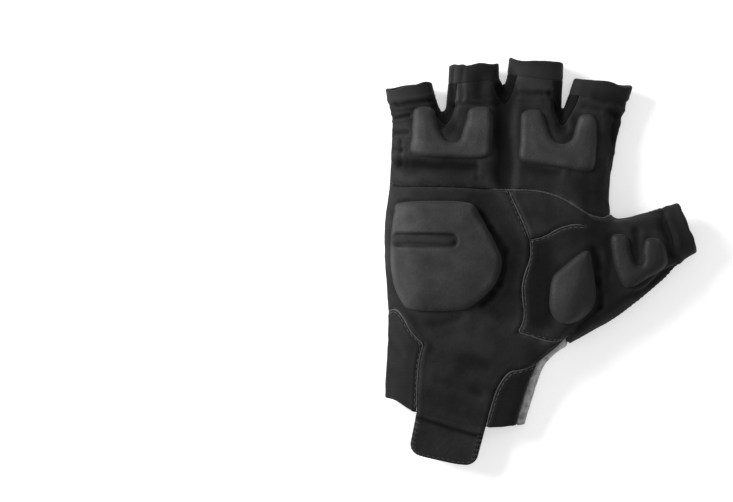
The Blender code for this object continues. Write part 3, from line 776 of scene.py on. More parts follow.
print("skin: folds and seams")
skinPoints, skinNormals, seamAway, paintedShadeAndLight = dressedSkin()
skinTree = BVHTree.FromPolygons(skinPoints.tolist(), skinQuads.tolist())


# A mesh object from points and faces, smooth, with its finishes in order.
def meshObject(name, points, faces, finishes, faceFinishes=None, values=None):
    mesh = bpy.data.meshes.new(name)
    mesh.from_pydata([tuple(point) for point in points], [], faces)
    for finish in finishes:
        mesh.materials.append(finish)
    if faceFinishes is not None:
        mesh.polygons.foreach_set("material_index", faceFinishes)
    for label, numbers in (values or {}).items():
        mesh.attributes.new(label, 'FLOAT', 'POINT').data.foreach_set("value", numbers)
    mesh.shade_smooth()
    mesh.update()
    made = bpy.data.objects.new(name, mesh)
    bpy.context.scene.collection.objects.link(made)
    return made


# A node material under construction: small helpers for its nodes.
class Nodes:
    def __init__(self, name, colour, roughness, sockets):
        self.finish = bpy.data.materials.new(name)
        self.finish.use_nodes = True
        self.finish.diffuse_color = (*colour, 1)
        self.tree = self.finish.node_tree
        self.shader = self.tree.nodes["Principled BSDF"]
        for label, value in {"Base Color": (*colour, 1), "Roughness": roughness, **sockets}.items():
            self.shader.inputs[label].default_value = value
        self.place = self.make("ShaderNodeTexCoord").outputs["Object"]

    def feed(self, target, value):
        if isinstance(value, bpy.types.NodeSocket):
            self.tree.links.new(value, target)
        else:
            target.default_value = value

    def make(self, kind, inputs=None, **settings):
        node = self.tree.nodes.new(kind)
        for label, value in settings.items():
            setattr(node, label, value)
        for label, value in (inputs or {}).items():
            self.feed(node.inputs[label], value)
        return node

    def math(self, operation, first, second=0.0, clamp=False):
        return self.make("ShaderNodeMath", {0: first, 1: second},
                         operation=operation, use_clamp=clamp).outputs[0]

    def plus(self, first, second):
        return self.math('ADD', first, second)

    def minus(self, first, second):
        return self.math('SUBTRACT', first, second)

    def times(self, first, *others):
        for other in others:
            first = self.math('MULTIPLY', first, other)
        return first

    def length(self, u, v):
        return self.math('SQRT', self.plus(self.times(u, u), self.times(v, v)))

    def split(self, vector=None):
        return self.make("ShaderNodeSeparateXYZ", {0: vector or self.place}).outputs

    def noise(self, size, detail, roughness=.5):
        inputs = {"Vector": self.place, "Scale": 1 / size, "Detail": detail, "Roughness": roughness}
        return self.make("ShaderNodeTexNoise", inputs).outputs["Fac"]

    def cells(self, size):
        inputs = {"Vector": self.place, "Scale": 1 / size}
        return self.make("ShaderNodeTexVoronoi", inputs).outputs["Distance"]

    def spread(self, value, low, high, toLow=0.0, toHigh=1.0, smooth=False):
        inputs = {"Value": value, "From Min": low, "From Max": high, "To Min": toLow, "To Max": toHigh}
        kind = 'SMOOTHSTEP' if smooth else 'LINEAR'
        return self.make("ShaderNodeMapRange", inputs, interpolation_type=kind).outputs["Result"]

    # 1 below an edge and 0 above it.
    def below(self, value, edge, softness):
        return self.spread(value, edge, edge + softness, 1, 0)

    def mix(self, share, first, second):
        node = self.make("ShaderNodeMix", {"Factor": share}, data_type='RGBA')
        colours = [socket for socket in node.inputs if socket.type == 'RGBA']
        for socket, value in zip(colours, (first, second)):
            self.feed(socket, (*value, 1) if isinstance(value, tuple) else value)
        return [socket for socket in node.outputs if socket.type == 'RGBA'][0]

    # Soft clouds of a second colour, as strong as the share.
    def clouded(self, base, other, size, share):
        return self.mix(self.spread(self.noise(size, 3), .35, .65, 0, share), base, other)

    def attribute(self, name):
        return self.make("ShaderNodeAttribute", attribute_name=name).outputs["Fac"]

    def colour(self, socket):
        self.feed(self.shader.inputs["Base Color"], socket)

    def rough(self, socket):
        self.feed(self.shader.inputs["Roughness"], socket)

    def relief(self, normal):
        self.feed(self.shader.inputs["Normal"], normal)

    def bump(self, height, depth, strength, under=None):
        inputs = {"Height": height, "Distance": depth, "Strength": strength}
        if under is not None:
            inputs["Normal"] = under
        return self.make("ShaderNodeBump", inputs).outputs["Normal"]


def scaled(colour, factor):
    return tuple(min(1, channel * factor) for channel in colour)


leatherLook = {
    "palm": {"colour": (.0125, .0125, .0129), "rough": .76, "specular": .18, "sheen": .05},
    "pad": {"colour": (.0258, .0258, .0264), "rough": .66, "specular": .28, "sheen": .08},
    "grainSize": 0.85 * mm,
    "grainDepth": 0.10 * mm,
    "poreSize": 0.30 * mm,
    "poreDepth": 0.04 * mm,
    "cloudSize": 14 * mm,
    "cloudShare": .34,       # how much lighter and darker the clouds are
    "edgeWear": .55,         # how much lighter the turned edges at the seams are
    "wearWidth": 1.9 * mm,
    "foldDark": .85,         # how much of its colour the leather loses under the full painted shade of folds and patches
    "foldRough": .24,        # and how much duller it is there
    "wearAndPaintedLight": 2.1,        # how much lighter the painted light patches are
    "foldColour": .12,       # the colour of the full painted shade, as a share of the leather's colour
    "fade": (10 * mm, 62 * mm),  # painted shade: the pads grow darker here towards the thumb and the wrist
    "fadeShare": .92,
}
wornEdge = 2.6               # how much lighter worn edges are


# Painted shade where the attribute is above 0, in folds and patches; painted light where it is below 0.
def darkened(nodes, base, colour):
    paintedShade = nodes.times(nodes.attribute("paintedShadeAndLight"), leatherLook["foldDark"])
    # Painted light where the attribute is below 0.
    base = nodes.mix(nodes.times(paintedShade, -1.0), base, scaled(colour, leatherLook["wearAndPaintedLight"]))
    # Painted shade where it is above 0.
    return nodes.mix(paintedShade, base, scaled(colour, leatherLook["foldColour"]))


def leatherFinish(name, look, worn):
    colour, rough = look["colour"], look["rough"]
    nodes = Nodes(name, colour, rough, {
        "Specular IOR Level": look["specular"], "Sheen Weight": look["sheen"], "Sheen Roughness": .45})
    clouds = nodes.noise(leatherLook["cloudSize"], 4, roughness=.6)
    share = leatherLook["cloudShare"]
    base = nodes.mix(nodes.spread(clouds, .34, .66), scaled(colour, 1 - share), scaled(colour, 1 + share))
    grain = nodes.cells(leatherLook["grainSize"])
    base = nodes.mix(nodes.spread(grain, .25, .75, 0, .30), base, scaled(colour, .45))
    if worn:
        edge = nodes.spread(nodes.attribute("seamAway"), .5 * mm, leatherLook["wearWidth"], 1, 0, True)
        patchy = nodes.spread(nodes.noise(2.4 * mm, 3), .40, .62)
        wear = nodes.times(edge, patchy, leatherLook["edgeWear"])
        base = nodes.mix(wear, base, scaled(colour, wornEdge))
    else:
        # Painted shade on the pads, darker towards the thumb and the wrist.
        x, y, _ = nodes.split()
        towards = nodes.minus(x, nodes.times(y, .5))
        shaded = nodes.spread(towards, *leatherLook["fade"], 0, leatherLook["fadeShare"])
        base = nodes.mix(shaded, base, scaled(colour, .3))
    nodes.colour(darkened(nodes, base, colour))
    dull = nodes.times(nodes.attribute("paintedShadeAndLight"), leatherLook["foldRough"])
    nodes.rough(nodes.math('ADD', nodes.spread(clouds, .3, .7, rough + .08, rough - .08), dull, clamp=True))
    fine = nodes.bump(nodes.noise(leatherLook["poreSize"], 2), leatherLook["poreDepth"], .6)
    nodes.relief(nodes.bump(grain, leatherLook["grainDepth"], .7, fine))
    return nodes.finish


# Knit and cloth: name, colour, roughness, the width, height and depth of a stitch, wear, gloss.
knitLook = {
    "knit": ("darkKnit", (.0125, .0125, .0129), .88, .80 * mm, .62 * mm, .11 * mm, .3, 1),
    "hem": ("hemCloth", (.0128, .0128, .0132), .82, .62 * mm, .50 * mm, .05 * mm, 0, 1),
    # The webs' knit is painted darker than the other knit, as shade between the fingers.
    "web": ("webCloth", (.0044, .0044, .0046), .94, .70 * mm, .55 * mm, .08 * mm, 0, .65),
    "lining": ("liningCloth", (.0080, .0080, .0082), .92, 1.0 * mm, .8 * mm, .10 * mm, 0, 1),
}


# Columns of small vees, as jersey has.
def knitHeight(nodes, wale, course):
    x, y, z = nodes.split()
    sideways = nodes.plus(x, nodes.times(z, .55))
    columns = nodes.math('ABSOLUTE', nodes.math('SINE', nodes.times(sideways, 2 * math.pi / wale)))
    turn = nodes.plus(nodes.times(y, 2 * math.pi / course), nodes.times(columns, 1.6))
    return nodes.plus(nodes.times(columns, .6), nodes.times(nodes.math('SINE', turn), .25))


def knitFinish(name, colour, rough, wale, course, depth, worn, gloss):
    nodes = Nodes(name, colour, rough, {
        "Specular IOR Level": .16 * gloss, "Sheen Weight": .08 * gloss, "Sheen Roughness": .5})
    height = knitHeight(nodes, wale, course)
    base = nodes.mix(nodes.spread(height, .05, .75), scaled(colour, .55), scaled(colour, 1.35))
    base = nodes.clouded(base, scaled(colour, .5), 11 * mm, .35)
    if worn:
        edge = nodes.spread(nodes.attribute("seamAway"), .4 * mm, 1.6 * mm, worn, 0, True)
        base = nodes.mix(edge, base, scaled(colour, wornEdge))
    nodes.colour(darkened(nodes, base, colour))
    nodes.relief(nodes.bump(height, depth, .8))
    return nodes.finish


meshLook = {
    "colour": (.0048, .0048, .0050),
    "tint": (.0062, .0065, .0050),     # the faint olive cast towards the fingers
    "tintAlong": (20 * mm, 70 * mm),
    # The holes' lighter colour: partly a lighter yarn, partly painted highlight.
    "dot": (.056, .056, .054),
    "dotShare": .85,
    "middle": (.14, .47, .02, -.02),   # the dots are clearest along this line, in shares
    "middleReach": 34 * mm,
    "outer": (-.40, .28, -.30, .02),   # and fainter along this one
    "outerReach": 30 * mm,
    "outerShare": .45,
    "leastShare": .12,
    "rough": .74,
    "pitch": 2.1 * mm,
    "dotRadius": 0.50 * mm,
    "depth": 0.22 * mm,
    "rowTurn": 4,                      # degrees
}


# How near the surface is to a line over the pattern: 1 on it and 0 past the width.
def nearLine(nodes, line, width):
    (x0, y0), (x1, y1) = flatPlace(*line[:2]).tolist(), flatPlace(*line[2:]).tolist()
    runX, runY = x1 - x0, y1 - y0
    square = runX ** 2 + runY ** 2
    x, y, _ = nodes.split()
    fromX, fromY = nodes.minus(x, x0), nodes.minus(y, y0)
    shares = (nodes.times(fromX, runX / square), nodes.times(fromY, runY / square))
    along = nodes.math('ADD', *shares, clamp=True)
    offX, offY = nodes.minus(fromX, nodes.times(along, runX)), nodes.minus(fromY, nodes.times(along, runY))
    return nodes.spread(nodes.length(offX, offY), 0, width, 1, 0, True)


# Rows of small holes, each row shifted by half, their lighter colour partly yarn and partly painted
# highlight. They are clear over the knuckles and faint elsewhere.
def meshFinish():
    colour, pitch = meshLook["colour"], meshLook["pitch"]
    nodes = Nodes("backMesh", colour, meshLook["rough"], {
        "Specular IOR Level": .20, "Sheen Weight": .07, "Sheen Roughness": .4})
    turned = nodes.make("ShaderNodeVectorRotate", {
        "Vector": nodes.place, "Angle": math.radians(meshLook["rowTurn"])}, rotation_type='Z_AXIS')
    x, y, z = nodes.split(turned.outputs[0])
    roundSide = nodes.times(z, nodes.spread(x, -30 * mm, 30 * mm, -1, 1))
    across = nodes.math('DIVIDE', nodes.plus(x, roundSide), pitch)
    along = nodes.math('DIVIDE', y, pitch / 2)
    shift = nodes.times(nodes.math('PINGPONG', nodes.math('FLOOR', along), 1.0), .5)
    u = nodes.minus(nodes.math('FRACT', nodes.plus(across, shift)), .5)
    v = nodes.times(nodes.minus(nodes.math('FRACT', along), .5), .5)
    radius = meshLook["dotRadius"] / pitch
    hole = nodes.spread(nodes.length(u, v), radius * .55, radius * 1.25, 1, 0, True)
    middle = nearLine(nodes, meshLook["middle"], meshLook["middleReach"])
    outer = nodes.times(nearLine(nodes, meshLook["outer"], meshLook["outerReach"]), meshLook["outerShare"])
    fade = nodes.math('MAXIMUM', nodes.math('MAXIMUM', middle, outer), meshLook["leastShare"])
    clear = nodes.times(hole, nodes.times(fade, nodes.spread(nodes.noise(16 * mm, 2), .32, .68, .35, 1)))
    olive = nodes.spread(nodes.split()[1], *meshLook["tintAlong"], 0, 1, True)
    base = nodes.clouded(nodes.mix(olive, colour, meshLook["tint"]), scaled(colour, 1.8), 9 * mm, .5)
    nodes.colour(nodes.mix(nodes.times(clear, meshLook["dotShare"]), base, meshLook["dot"]))
    weave = nodes.bump(knitHeight(nodes, .55 * mm, .5 * mm), .05 * mm, .5)
    nodes.relief(nodes.bump(clear, -meshLook["depth"], .8, weave))
    return nodes.finish


greyLook = {
    "light": (.25, .25, .255),
    "mid": (.15, .15, .153),
    "dark": (.008, .008, .0084),
    "cell": 1.25 * mm,           # pitch of the printed screen
    "borderWidth": 2.6 * mm,
    "fadeTop": -18 * mm,         # the print darkens from here down to the cuff
    "fadeBottom": -66 * mm,
    "middle": -20 * mm,          # the chevrons' point, across
    "slope": .62,
    "chevronTop": -13 * mm,
    "chevronPitch": 15.5 * mm,
    "chevronShare": .66,
    "chevronCount": 3,
    "chevronHalf": 28 * mm,      # they end this far from their point
    "sideShare": .85,            # the print wears off at the thumb's side, by height and across
    "sideUp": (1.5 * mm, 5 * mm),
    "sideAcross": (-10 * mm, 4 * mm),
    "edgeLight": 1.45,           # how much lighter the plain edge and the worn side are
    "wearAndPaintedLight": 1.8,
}


# Grey cloth printed with a fine screen and three dark chevrons, with a plain light edge.
def greyFinish():
    light, mid, cell = greyLook["light"], greyLook["mid"], greyLook["cell"]
    nodes = Nodes("greyCloth", mid, .82, {
        "Specular IOR Level": .2, "Sheen Weight": .06, "Sheen Roughness": .4})
    x, y, z = nodes.split()
    outwards = nodes.spread(x, greyLook["middle"] - 20 * mm, greyLook["middle"] + 20 * mm, -1, 1)
    around = nodes.plus(x, nodes.times(z, outwards))  # the print goes up the sides
    slants = [nodes.math('DIVIDE', way(around, y), cell) for way in (nodes.plus, nodes.minus)]
    u, v = (nodes.minus(nodes.math('FRACT', slant), .5) for slant in slants)
    fade = nodes.spread(y, greyLook["fadeBottom"], greyLook["fadeTop"])
    dotSize = nodes.spread(fade, 0, 1, .56, .26)
    screen = nodes.spread(nodes.minus(nodes.length(u, v), dotSize), -.06, .06, 1, 0, True)
    ink = nodes.mix(fade, scaled(mid, .15), scaled(mid, .8))
    base = nodes.clouded(nodes.mix(screen, nodes.mix(fade, mid, light), ink), mid, 12 * mm, .18)
    base = nodes.mix(nodes.times(chevrons(nodes, x, y), .96), base, greyLook["dark"])
    border = nodes.below(nodes.attribute("topAway"), greyLook["borderWidth"], .3 * mm)
    base = nodes.mix(border, base, scaled(light, greyLook["edgeLight"]))
    side = nodes.times(nodes.spread(z, *greyLook["sideUp"]), nodes.spread(x, *greyLook["sideAcross"]))
    worn = nodes.spread(nodes.noise(2.5 * mm, 3), .35, .62, greyLook["sideShare"] * .4, greyLook["sideShare"])
    nodes.colour(nodes.mix(nodes.times(side, worn), base, scaled(light, greyLook["wearAndPaintedLight"])))
    nodes.relief(nodes.bump(knitHeight(nodes, .6 * mm, .5 * mm), .07 * mm, .6))
    return nodes.finish


# 1 inside the chevrons: bands between slanting lines, from the first to the last and not too wide.
def chevrons(nodes, x, y):
    fromPoint = nodes.math('ABSOLUTE', nodes.minus(x, greyLook["middle"]))
    level = nodes.plus(y, nodes.times(fromPoint, greyLook["slope"]))
    step = nodes.math('DIVIDE', nodes.minus(greyLook["chevronTop"], level), greyLook["chevronPitch"])
    inside = nodes.below(nodes.math('FRACT', step), greyLook["chevronShare"] - .02, .04)
    ended = nodes.below(step, greyLook["chevronCount"] - .04, .04)
    within = nodes.below(fromPoint, greyLook["chevronHalf"], .4 * mm)
    return nodes.times(inside, nodes.spread(step, 0, .04), ended, within)


filmLook = {"colour": (.80, .81, .83), "rough": .28, "metal": .55, "bead": .22 * mm}


def filmFinish():
    colour, rough = filmLook["colour"], filmLook["rough"]
    nodes = Nodes("reflectiveFilm", colour, rough, {"Metallic": filmLook["metal"], "Specular IOR Level": .6})
    beads = nodes.cells(filmLook["bead"])
    scuffs = nodes.noise(5 * mm, 4)
    base = nodes.mix(nodes.spread(scuffs, .4, .7, 0, .35), colour, scaled(colour, .72))
    nodes.colour(nodes.mix(nodes.spread(beads, .3, .7, 0, .25), base, scaled(colour, .6)))
    nodes.rough(nodes.spread(scuffs, .3, .7, rough, rough + .2))
    nodes.relief(nodes.bump(beads, .03 * mm, .5))
    return nodes.finish


threadLook = {
    "piping": ("seamPiping", (.043, .043, .044)),
    "thread": ("seamThread", (.036, .036, .038)),
    "darkThread": ("darkThread", (.0075, .0075, .0078)),
}


def threadFinish(name, colour):
    nodes = Nodes(name, colour, .62, {"Specular IOR Level": .35, "Sheen Weight": .2})
    inputs = {"Vector": nodes.place, "Scale": 1 / (2.2 * mm), "Distortion": 1.5, "Detail": 1.0}
    twist = nodes.make("ShaderNodeTexWave", inputs, bands_direction='DIAGONAL').outputs["Fac"]
    nodes.colour(nodes.mix(twist, scaled(colour, .6), scaled(colour, 1.3)))
    nodes.relief(nodes.bump(twist, .05 * mm, .6))
    return nodes.finish


def floorFinish():
    glow = {"Emission Color": (1, 1, 1, 1), "Emission Strength": stageLook["floorGlow"]}
    nodes = Nodes("paleFloor", (.93, .93, .93), .9, {"Specular IOR Level": .1, **glow})
    nodes.colour(nodes.mix(nodes.noise(.4, 2), (.925, .925, .925), (.94, .94, .94)))
    return nodes.finish


print("finishes")
finishes = {
    "leather": leatherFinish("palmLeather", leatherLook["palm"], True),
    "pad": leatherFinish("padLeather", leatherLook["pad"], False),
    "mesh": meshFinish(),
    "grey": greyFinish(),
    "film": filmFinish(),
    **{kind: knitFinish(*look) for kind, look in knitLook.items()},
    **{kind: threadFinish(*look) for kind, look in threadLook.items()},
}


def dress(piece, finish, *nodes):
    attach(piece, "root")
    if nodes:
        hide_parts(*nodes)
    return piece


cloth = {
    "gap": 0.30 * mm,        # between two panels at a seam
    "turnIn": 0.35 * mm,     # how far an edge dips into its seam
    "quietShare": 0.08,      # the same at the seams of hems and webs
    "lipSteps": 5,           # points round a finished edge at an opening
    "lipFullness": 1.05,
}


quietVerts = {vert for pair, edges in skinSeams.items() for edge in edges for vert in edge
              if isQuiet(pair) or isInsetEnd(pair, restPoints[[vert]])[0]}


# The edges at the border of a panel, and the way into the panel at each of its points.
def borderOf(faces, points, normals):
    starts, ends = faces.reshape(-1), np.roll(faces, -1, axis=1).reshape(-1)
    keys = np.minimum(starts, ends) * len(points) + np.maximum(starts, ends)
    _, back, counts = np.unique(keys, return_inverse=True, return_counts=True)
    single = counts[back] == 1
    border = list(zip(starts[single].tolist(), ends[single].tolist()))
    inwards = np.zeros_like(points)
    for a, b in border:
        inward = unit(np.cross(normals[a] + normals[b], points[b] - points[a]))
        inwards[a] += inward
        inwards[b] += inward
    return border, unit(inwards)


# How far points are from the seam between a panel and others.
def awayFromSeam(points, name, others):
    tags = {tagOf[other] for other in others}
    found = [edge for pair, edges in skinSeams.items() for edge in edges
             if tagOf[name] in pair and tags & set(pair)]
    return nearestDistances(points, skinPoints[np.array(found)].reshape(-1, 3))


# One panel of the skin with its thickness: the outer side, the lining and the edges between.
def panelPiece(name, finish, wall):
    used, local = np.unique(skinQuads[skinTags == tagOf[name]], return_inverse=True)
    local = local.reshape(-1, 4)
    points, normals = skinPoints[used].copy(), skinNormals[used]
    inner = points - normals * wall
    border, inwards = borderOf(local, points, normals)
    openKeys = {tuple(edge) for edge in skinOpenings.get(tagOf[name], [])}
    isOpen = {(a, b): tuple(sorted((int(used[a]), int(used[b])))) in openKeys for a, b in border}
    for vert in {vert for edge, opened in isOpen.items() if not opened for vert in edge}:
        share = cloth["quietShare"] if int(used[vert]) in quietVerts else 1
        points[vert] += (inwards[vert] * cloth["gap"] / 2 - normals[vert] * cloth["turnIn"]) * share
        inner[vert] += inwards[vert] * cloth["gap"] / 2 * share
    inner[:, 2] = np.maximum(inner[:, 2], surface["floorClearance"] * 2)
    count = len(used)
    allPoints = [*points, *inner]
    faces = local.tolist() + [[vert + count for vert in face[::-1]] for face in local.tolist()]
    linings = [0] * len(local) + [1] * len(local)
    lips = {}

    # Points from the outer side round to the lining, at an opening.
    def lipOf(vert):
        if vert not in lips:
            middle, half = (points[vert] + inner[vert]) / 2, (points[vert] - inner[vert]) / 2
            reach = inwards[vert] * np.linalg.norm(half) * cloth["lipFullness"]
            first = len(allPoints)
            lips[vert] = [vert, *range(first, first + cloth["lipSteps"]), vert + count]
            for step in range(1, cloth["lipSteps"] + 1):
                angle = math.pi * step / (cloth["lipSteps"] + 1)
                allPoints.append(middle + half * math.cos(angle) - reach * math.sin(angle))
        return lips[vert]

    for a, b in border:
        first, second = (lipOf(a), lipOf(b)) if isOpen[(a, b)] else ([a, a + count], [b, b + count])
        for step in range(len(first) - 1):
            faces.append([second[step], first[step], first[step + 1], second[step + 1]])
            linings.append(0)
    rest = len(allPoints) - 2 * count
    rows = {"seamAway": (seamAway[used], .004), "paintedShadeAndLight": (paintedShadeAndLight[used], 0)}
    if name == "back_cuff_panel":
        rows["topAway"] = (awayFromSeam(points, name, ("back_panel", "thumb_back_panel")), .02)
    values = {label: np.r_[row, row, np.full(rest, end)].astype(np.float32)
              for label, (row, end) in rows.items()}
    piece = meshObject(name.replace("_", "-"), allPoints, faces, [finishes[finish], finishes["lining"]],
                       linings, values)
    return dress(piece, finish, name)


print("panels")
for panelName, panelFinish, panelWall in panels:
    panelPiece(panelName, panelFinish, panelWall)


# The height of the skin at a place, seen from above or, with direction 1, from below.
def skinHeight(x, y, direction=-1):
    hit, _, _, _ = skinTree.ray_cast(Vector((x, y, -direction * .1)), Vector((0, 0, direction)))
    return hit.z


# The height of a pad over its outline: a rounded side and a slightly crowned top.
def padRise(away, height, shoulder, crown):
    side = np.sqrt(1 - (1 - np.clip(away / shoulder, 0, 1)) ** 2.3)
    return height * side + crown * (1 - bell(away, padLook["crownWidth"]))


def awayFromOutline(points, outline):
    return np.min([distanceToLine(points, *ends) for ends in zip(outline, outline[1:])], axis=0)


def insideOutline(points, outline):
    x, y = points[:, 0], points[:, 1]
    inside = np.zeros(len(points), dtype=bool)
    for (x0, y0), (x1, y1) in zip(outline[:-1], outline[1:]):
        crosses = (y0 > y) != (y1 > y)
        if y1 != y0:
            inside ^= crosses & (x < (x1 - x0) * (y - y0) / (y1 - y0) + x0)
    return inside


# Points over a pad's plan: its outline, rings that follow it up the rounded side, and a field.
def padPlan(outline, shoulder):
    ring = outline[:-1]
    tangent = unit(np.roll(ring, -1, axis=0) - np.roll(ring, 1, axis=0))
    area = np.sum(ring[:, 0] * np.roll(ring[:, 1], -1) - np.roll(ring[:, 0], -1) * ring[:, 1])
    inward = np.column_stack((-tangent[:, 1], tangent[:, 0])) * np.sign(area)
    plan = [ring]
    for share in padLook["rings"]:
        moved = ring + inward * shoulder * share
        kept = insideOutline(moved, outline) & (awayFromOutline(moved, outline) > shoulder * share * .93)
        plan.append(moved[kept])
    low, high = ring.min(axis=0), ring.max(axis=0)
    spacing = padLook["spacing"]
    xs, ys = np.arange(low[0], high[0], spacing), np.arange(low[1], high[1], spacing * .866)
    grid = np.array([(x + spacing / 2 * (row % 2), y) for row, y in enumerate(ys) for x in xs])
    grid = grid[insideOutline(grid, outline)]
    plan.append(grid[awayFromOutline(grid, outline) > shoulder * 1.18])
    return np.vstack(plan), len(ring)


# The sewn slot in the gel pad: its depth, and the painted shade in its grooves and on its floor.
def padSlot(plan):
    away = awayFromRow(plan, *padLook["slot"])
    half = padLook["slotWidth"] / 2
    groove = bell(away - half, padLook["slotGroove"])
    floor = 1 - 1 / (1 + np.exp(-(away - half) / padLook["slotEdge"]))
    depth = padLook["slotDepth"] * np.maximum(groove, floor)
    depth -= padLook["slotPuff"] * bell(away, half * .62, 4)
    return np.maximum(depth, 0), np.maximum(groove * padLook["grooveShade"], floor * padLook["slotShade"])


def padPiece(name):
    gel = name == "gel_pad"
    height, shoulder, crown, filling = padLook["gel" if gel else "small"]
    outline = padOutlines[name]
    plan, rimCount = padPlan(outline, shoulder)
    edges = [(index, (index + 1) % rimCount) for index in range(rimCount)]
    verts, _, faces, *_ = geometry.delaunay_2d_cdt([Vector(point) for point in plan], edges, [], 1, 1e-7)
    plan = np.array([tuple(vert) for vert in verts])
    away = awayFromOutline(plan, outline)
    rise = padRise(away, height, shoulder, crown)
    # Painted shade in the seam at the rim and, on the gel pad, in the slot.
    paintedShade = padLook["rimShade"] * bell(away, padLook["rimShadeWidth"])
    if gel:
        depth, shade = padSlot(plan)
        rise -= depth * np.clip(away / shoulder, .25, 1)
        paintedShade = np.maximum(paintedShade, shade)
    ground = np.array([skinHeight(*point) for point in plan])
    spots = np.column_stack((plan, ground))
    rise += waved(spots, padLook["waves"], 8) * np.clip(away / (2 * mm), 0, 1)
    rise += waved(spots, padLook["puckers"], 9) * bell(away - padLook["puckerAt"], padLook["puckerAt"])
    count = len(plan)
    top = np.column_stack((plan, ground + np.maximum(rise, padLook["leastRise"])))
    bottom = np.column_stack((plan, ground - padLook["sunk"]))
    upper = []
    for face in faces:
        (ax, ay), (bx, by), (cx, cy) = (plan[index] for index in face)
        up = (bx - ax) * (cy - ay) - (by - ay) * (cx - ax) > 0
        upper.append(list(face) if up else list(face)[::-1])
    used = dict.fromkeys(edge for face in upper for edge in zip(face, face[1:] + face[:1]))
    sides = [[b, a, a + count, b + count] for a, b in used if (b, a) not in used]
    lower = [[index + count for index in face[::-1]] for face in upper]
    piece = meshObject(name.replace("_", "-"), np.vstack((top, bottom)), upper + sides + lower,
                       [finishes["pad"]], None, {"paintedShadeAndLight": np.r_[paintedShade, paintedShade].astype(np.float32)})
    dress(piece, "pad", name)


print("pads")
for padName in padStations:
    padPiece(padName)


# Threads and piping are thin tubes that follow a run of points over the skin.
def tubeInto(shape, points, normals, radii, sides=6, flatness=1.0):
    points = np.asarray(points)
    tangents = unit(np.gradient(points, axis=0))
    across = unit(np.cross(np.asarray(normals), tangents))
    upwards = np.cross(tangents, across)
    verts, faces = shape
    first = len(verts)
    for point, side, up, radius in zip(points, across, upwards, radii):
        for step in range(sides):
            angle = 2 * math.pi * step / sides
            verts.append(point + side * radius * math.cos(angle) + up * radius * flatness * math.sin(angle))
    for row in range(len(points) - 1):
        for step in range(sides):
            after = (step + 1) % sides
            a, b = first + row * sides + step, first + row * sides + after
            faces.append([a, b, b + sides, a + sides])
    last = first + (len(points) - 1) * sides
    faces.append([first + step for step in reversed(range(sides))])
    faces.append([last + step for step in range(sides)])


def onSkin(points, lift):
    found = [skinTree.find_nearest(Vector(point))[:2] for point in points]
    normals = np.array([tuple(normal) for _, normal in found])
    return np.array([tuple(hit) for hit, _ in found]) + normals * lift, smoothed(normals, 2)


# The runs of points along the seams between two groups of panels.
def seamRuns(firsts, seconds):
    edges = []
    for pair, found in skinSeams.items():
        names = {panels[tag][0] for tag in pair}
        if any({a, b} == names for a in firsts for b in seconds):
            edges += found
    return [resampled(smoothed(skinPoints[run], 4, run[0] == run[-1]), .5 * mm)
            for run in runsOf(edges) if len(run) > 4]


def beside(run, offset, lift):
    spots, normals = onSkin(run, 0)
    tangents = unit(np.gradient(spots, axis=0))
    return onSkin(spots + np.cross(normals, tangents) * offset, lift)


# One stitch from end to end: its height and its thickness, in radii.
stitchArch, stitchTaper = np.array((-.7, .35, .6, .35, -.7)), np.array((.55, 1, 1, 1, .55))


def stitchesInto(shape, spots, normals, size, backOnly=False):
    length, gap, radius = size
    along = lengthsAlong(spots)
    start = gap / 2
    while start + length < along[-1]:
        wanted = np.linspace(start, start + length, 5)
        points, ups = pointsAt(wanted, along, spots), pointsAt(wanted, along, normals)
        if ups[2][2] < 0 or not backOnly:
            tubeInto(shape, points + ups * (stitchArch * radius)[:, None], ups, stitchTaper * radius, 6, .8)
        start += length + gap


def shapePiece(name, shape, finish, slotFrom):
    points = np.array(shape[0])
    points[:, 2] = np.maximum(points[:, 2], surface["floorClearance"])
    return dress(meshObject(name, points, shape[1], [finishes[finish]]), slotFrom)


# Rows of stitches beside each run, as one piece.
def stitchRows(name, runs, offsets, lift, size, finish, slotFrom):
    thread = ([], [])
    for run in runs:
        for offset in offsets:
            line, ups = beside(run, offset, lift)
            stitchesInto(thread, line, ups, size, finish == "darkThread")
    if thread[0]:
        shapePiece(name, thread, finish, slotFrom)


seamWork = {
    "pipingRadius": 0.33 * mm,
    "pipingLift": 0.14 * mm,
    "uneven": (.35, 2.2 * mm),                   # share of the radius and size
    "faint": (-.080, .010),                      # across; the knuckle seam hardly shows left of here
    "faintShares": (.30, 1),
    "stitch": (1.9 * mm, 0.7 * mm, 0.16 * mm),   # length, gap and radius
    "stitchLift": 0.05 * mm,
    "stitchAway": 1.25 * mm,
    "endAcross": .362,                           # the thumb's top seam fades out at the knuckle seam
    "plainStitch": (1.7 * mm, 0.6 * mm, 0.16 * mm),
    "plainLift": 0.04 * mm,
}
pipedSeams = {  # firsts, seconds, sides of the seam that have stitches
    "knuckle-seam": (("finger_palm_panel",), ("palm_panel", "index_inset", "thumb_palm_panel"), ()),
    "inset-seam": (("palm_panel",), ("index_inset",), (-1,)),
    "thumb-top-seam": (("index_inset",), ("thumb_palm_panel",), (-1,)),
    "thumb-seam": (("palm_panel",), ("thumb_palm_panel",), (1,)),
    "cuff-outer-seam": (("palm_panel",), ("cuff_outer_panel",), (-1,)),
    "cuff-inner-seam": (("palm_panel",), ("cuff_inner_panel",), (1,)),
}


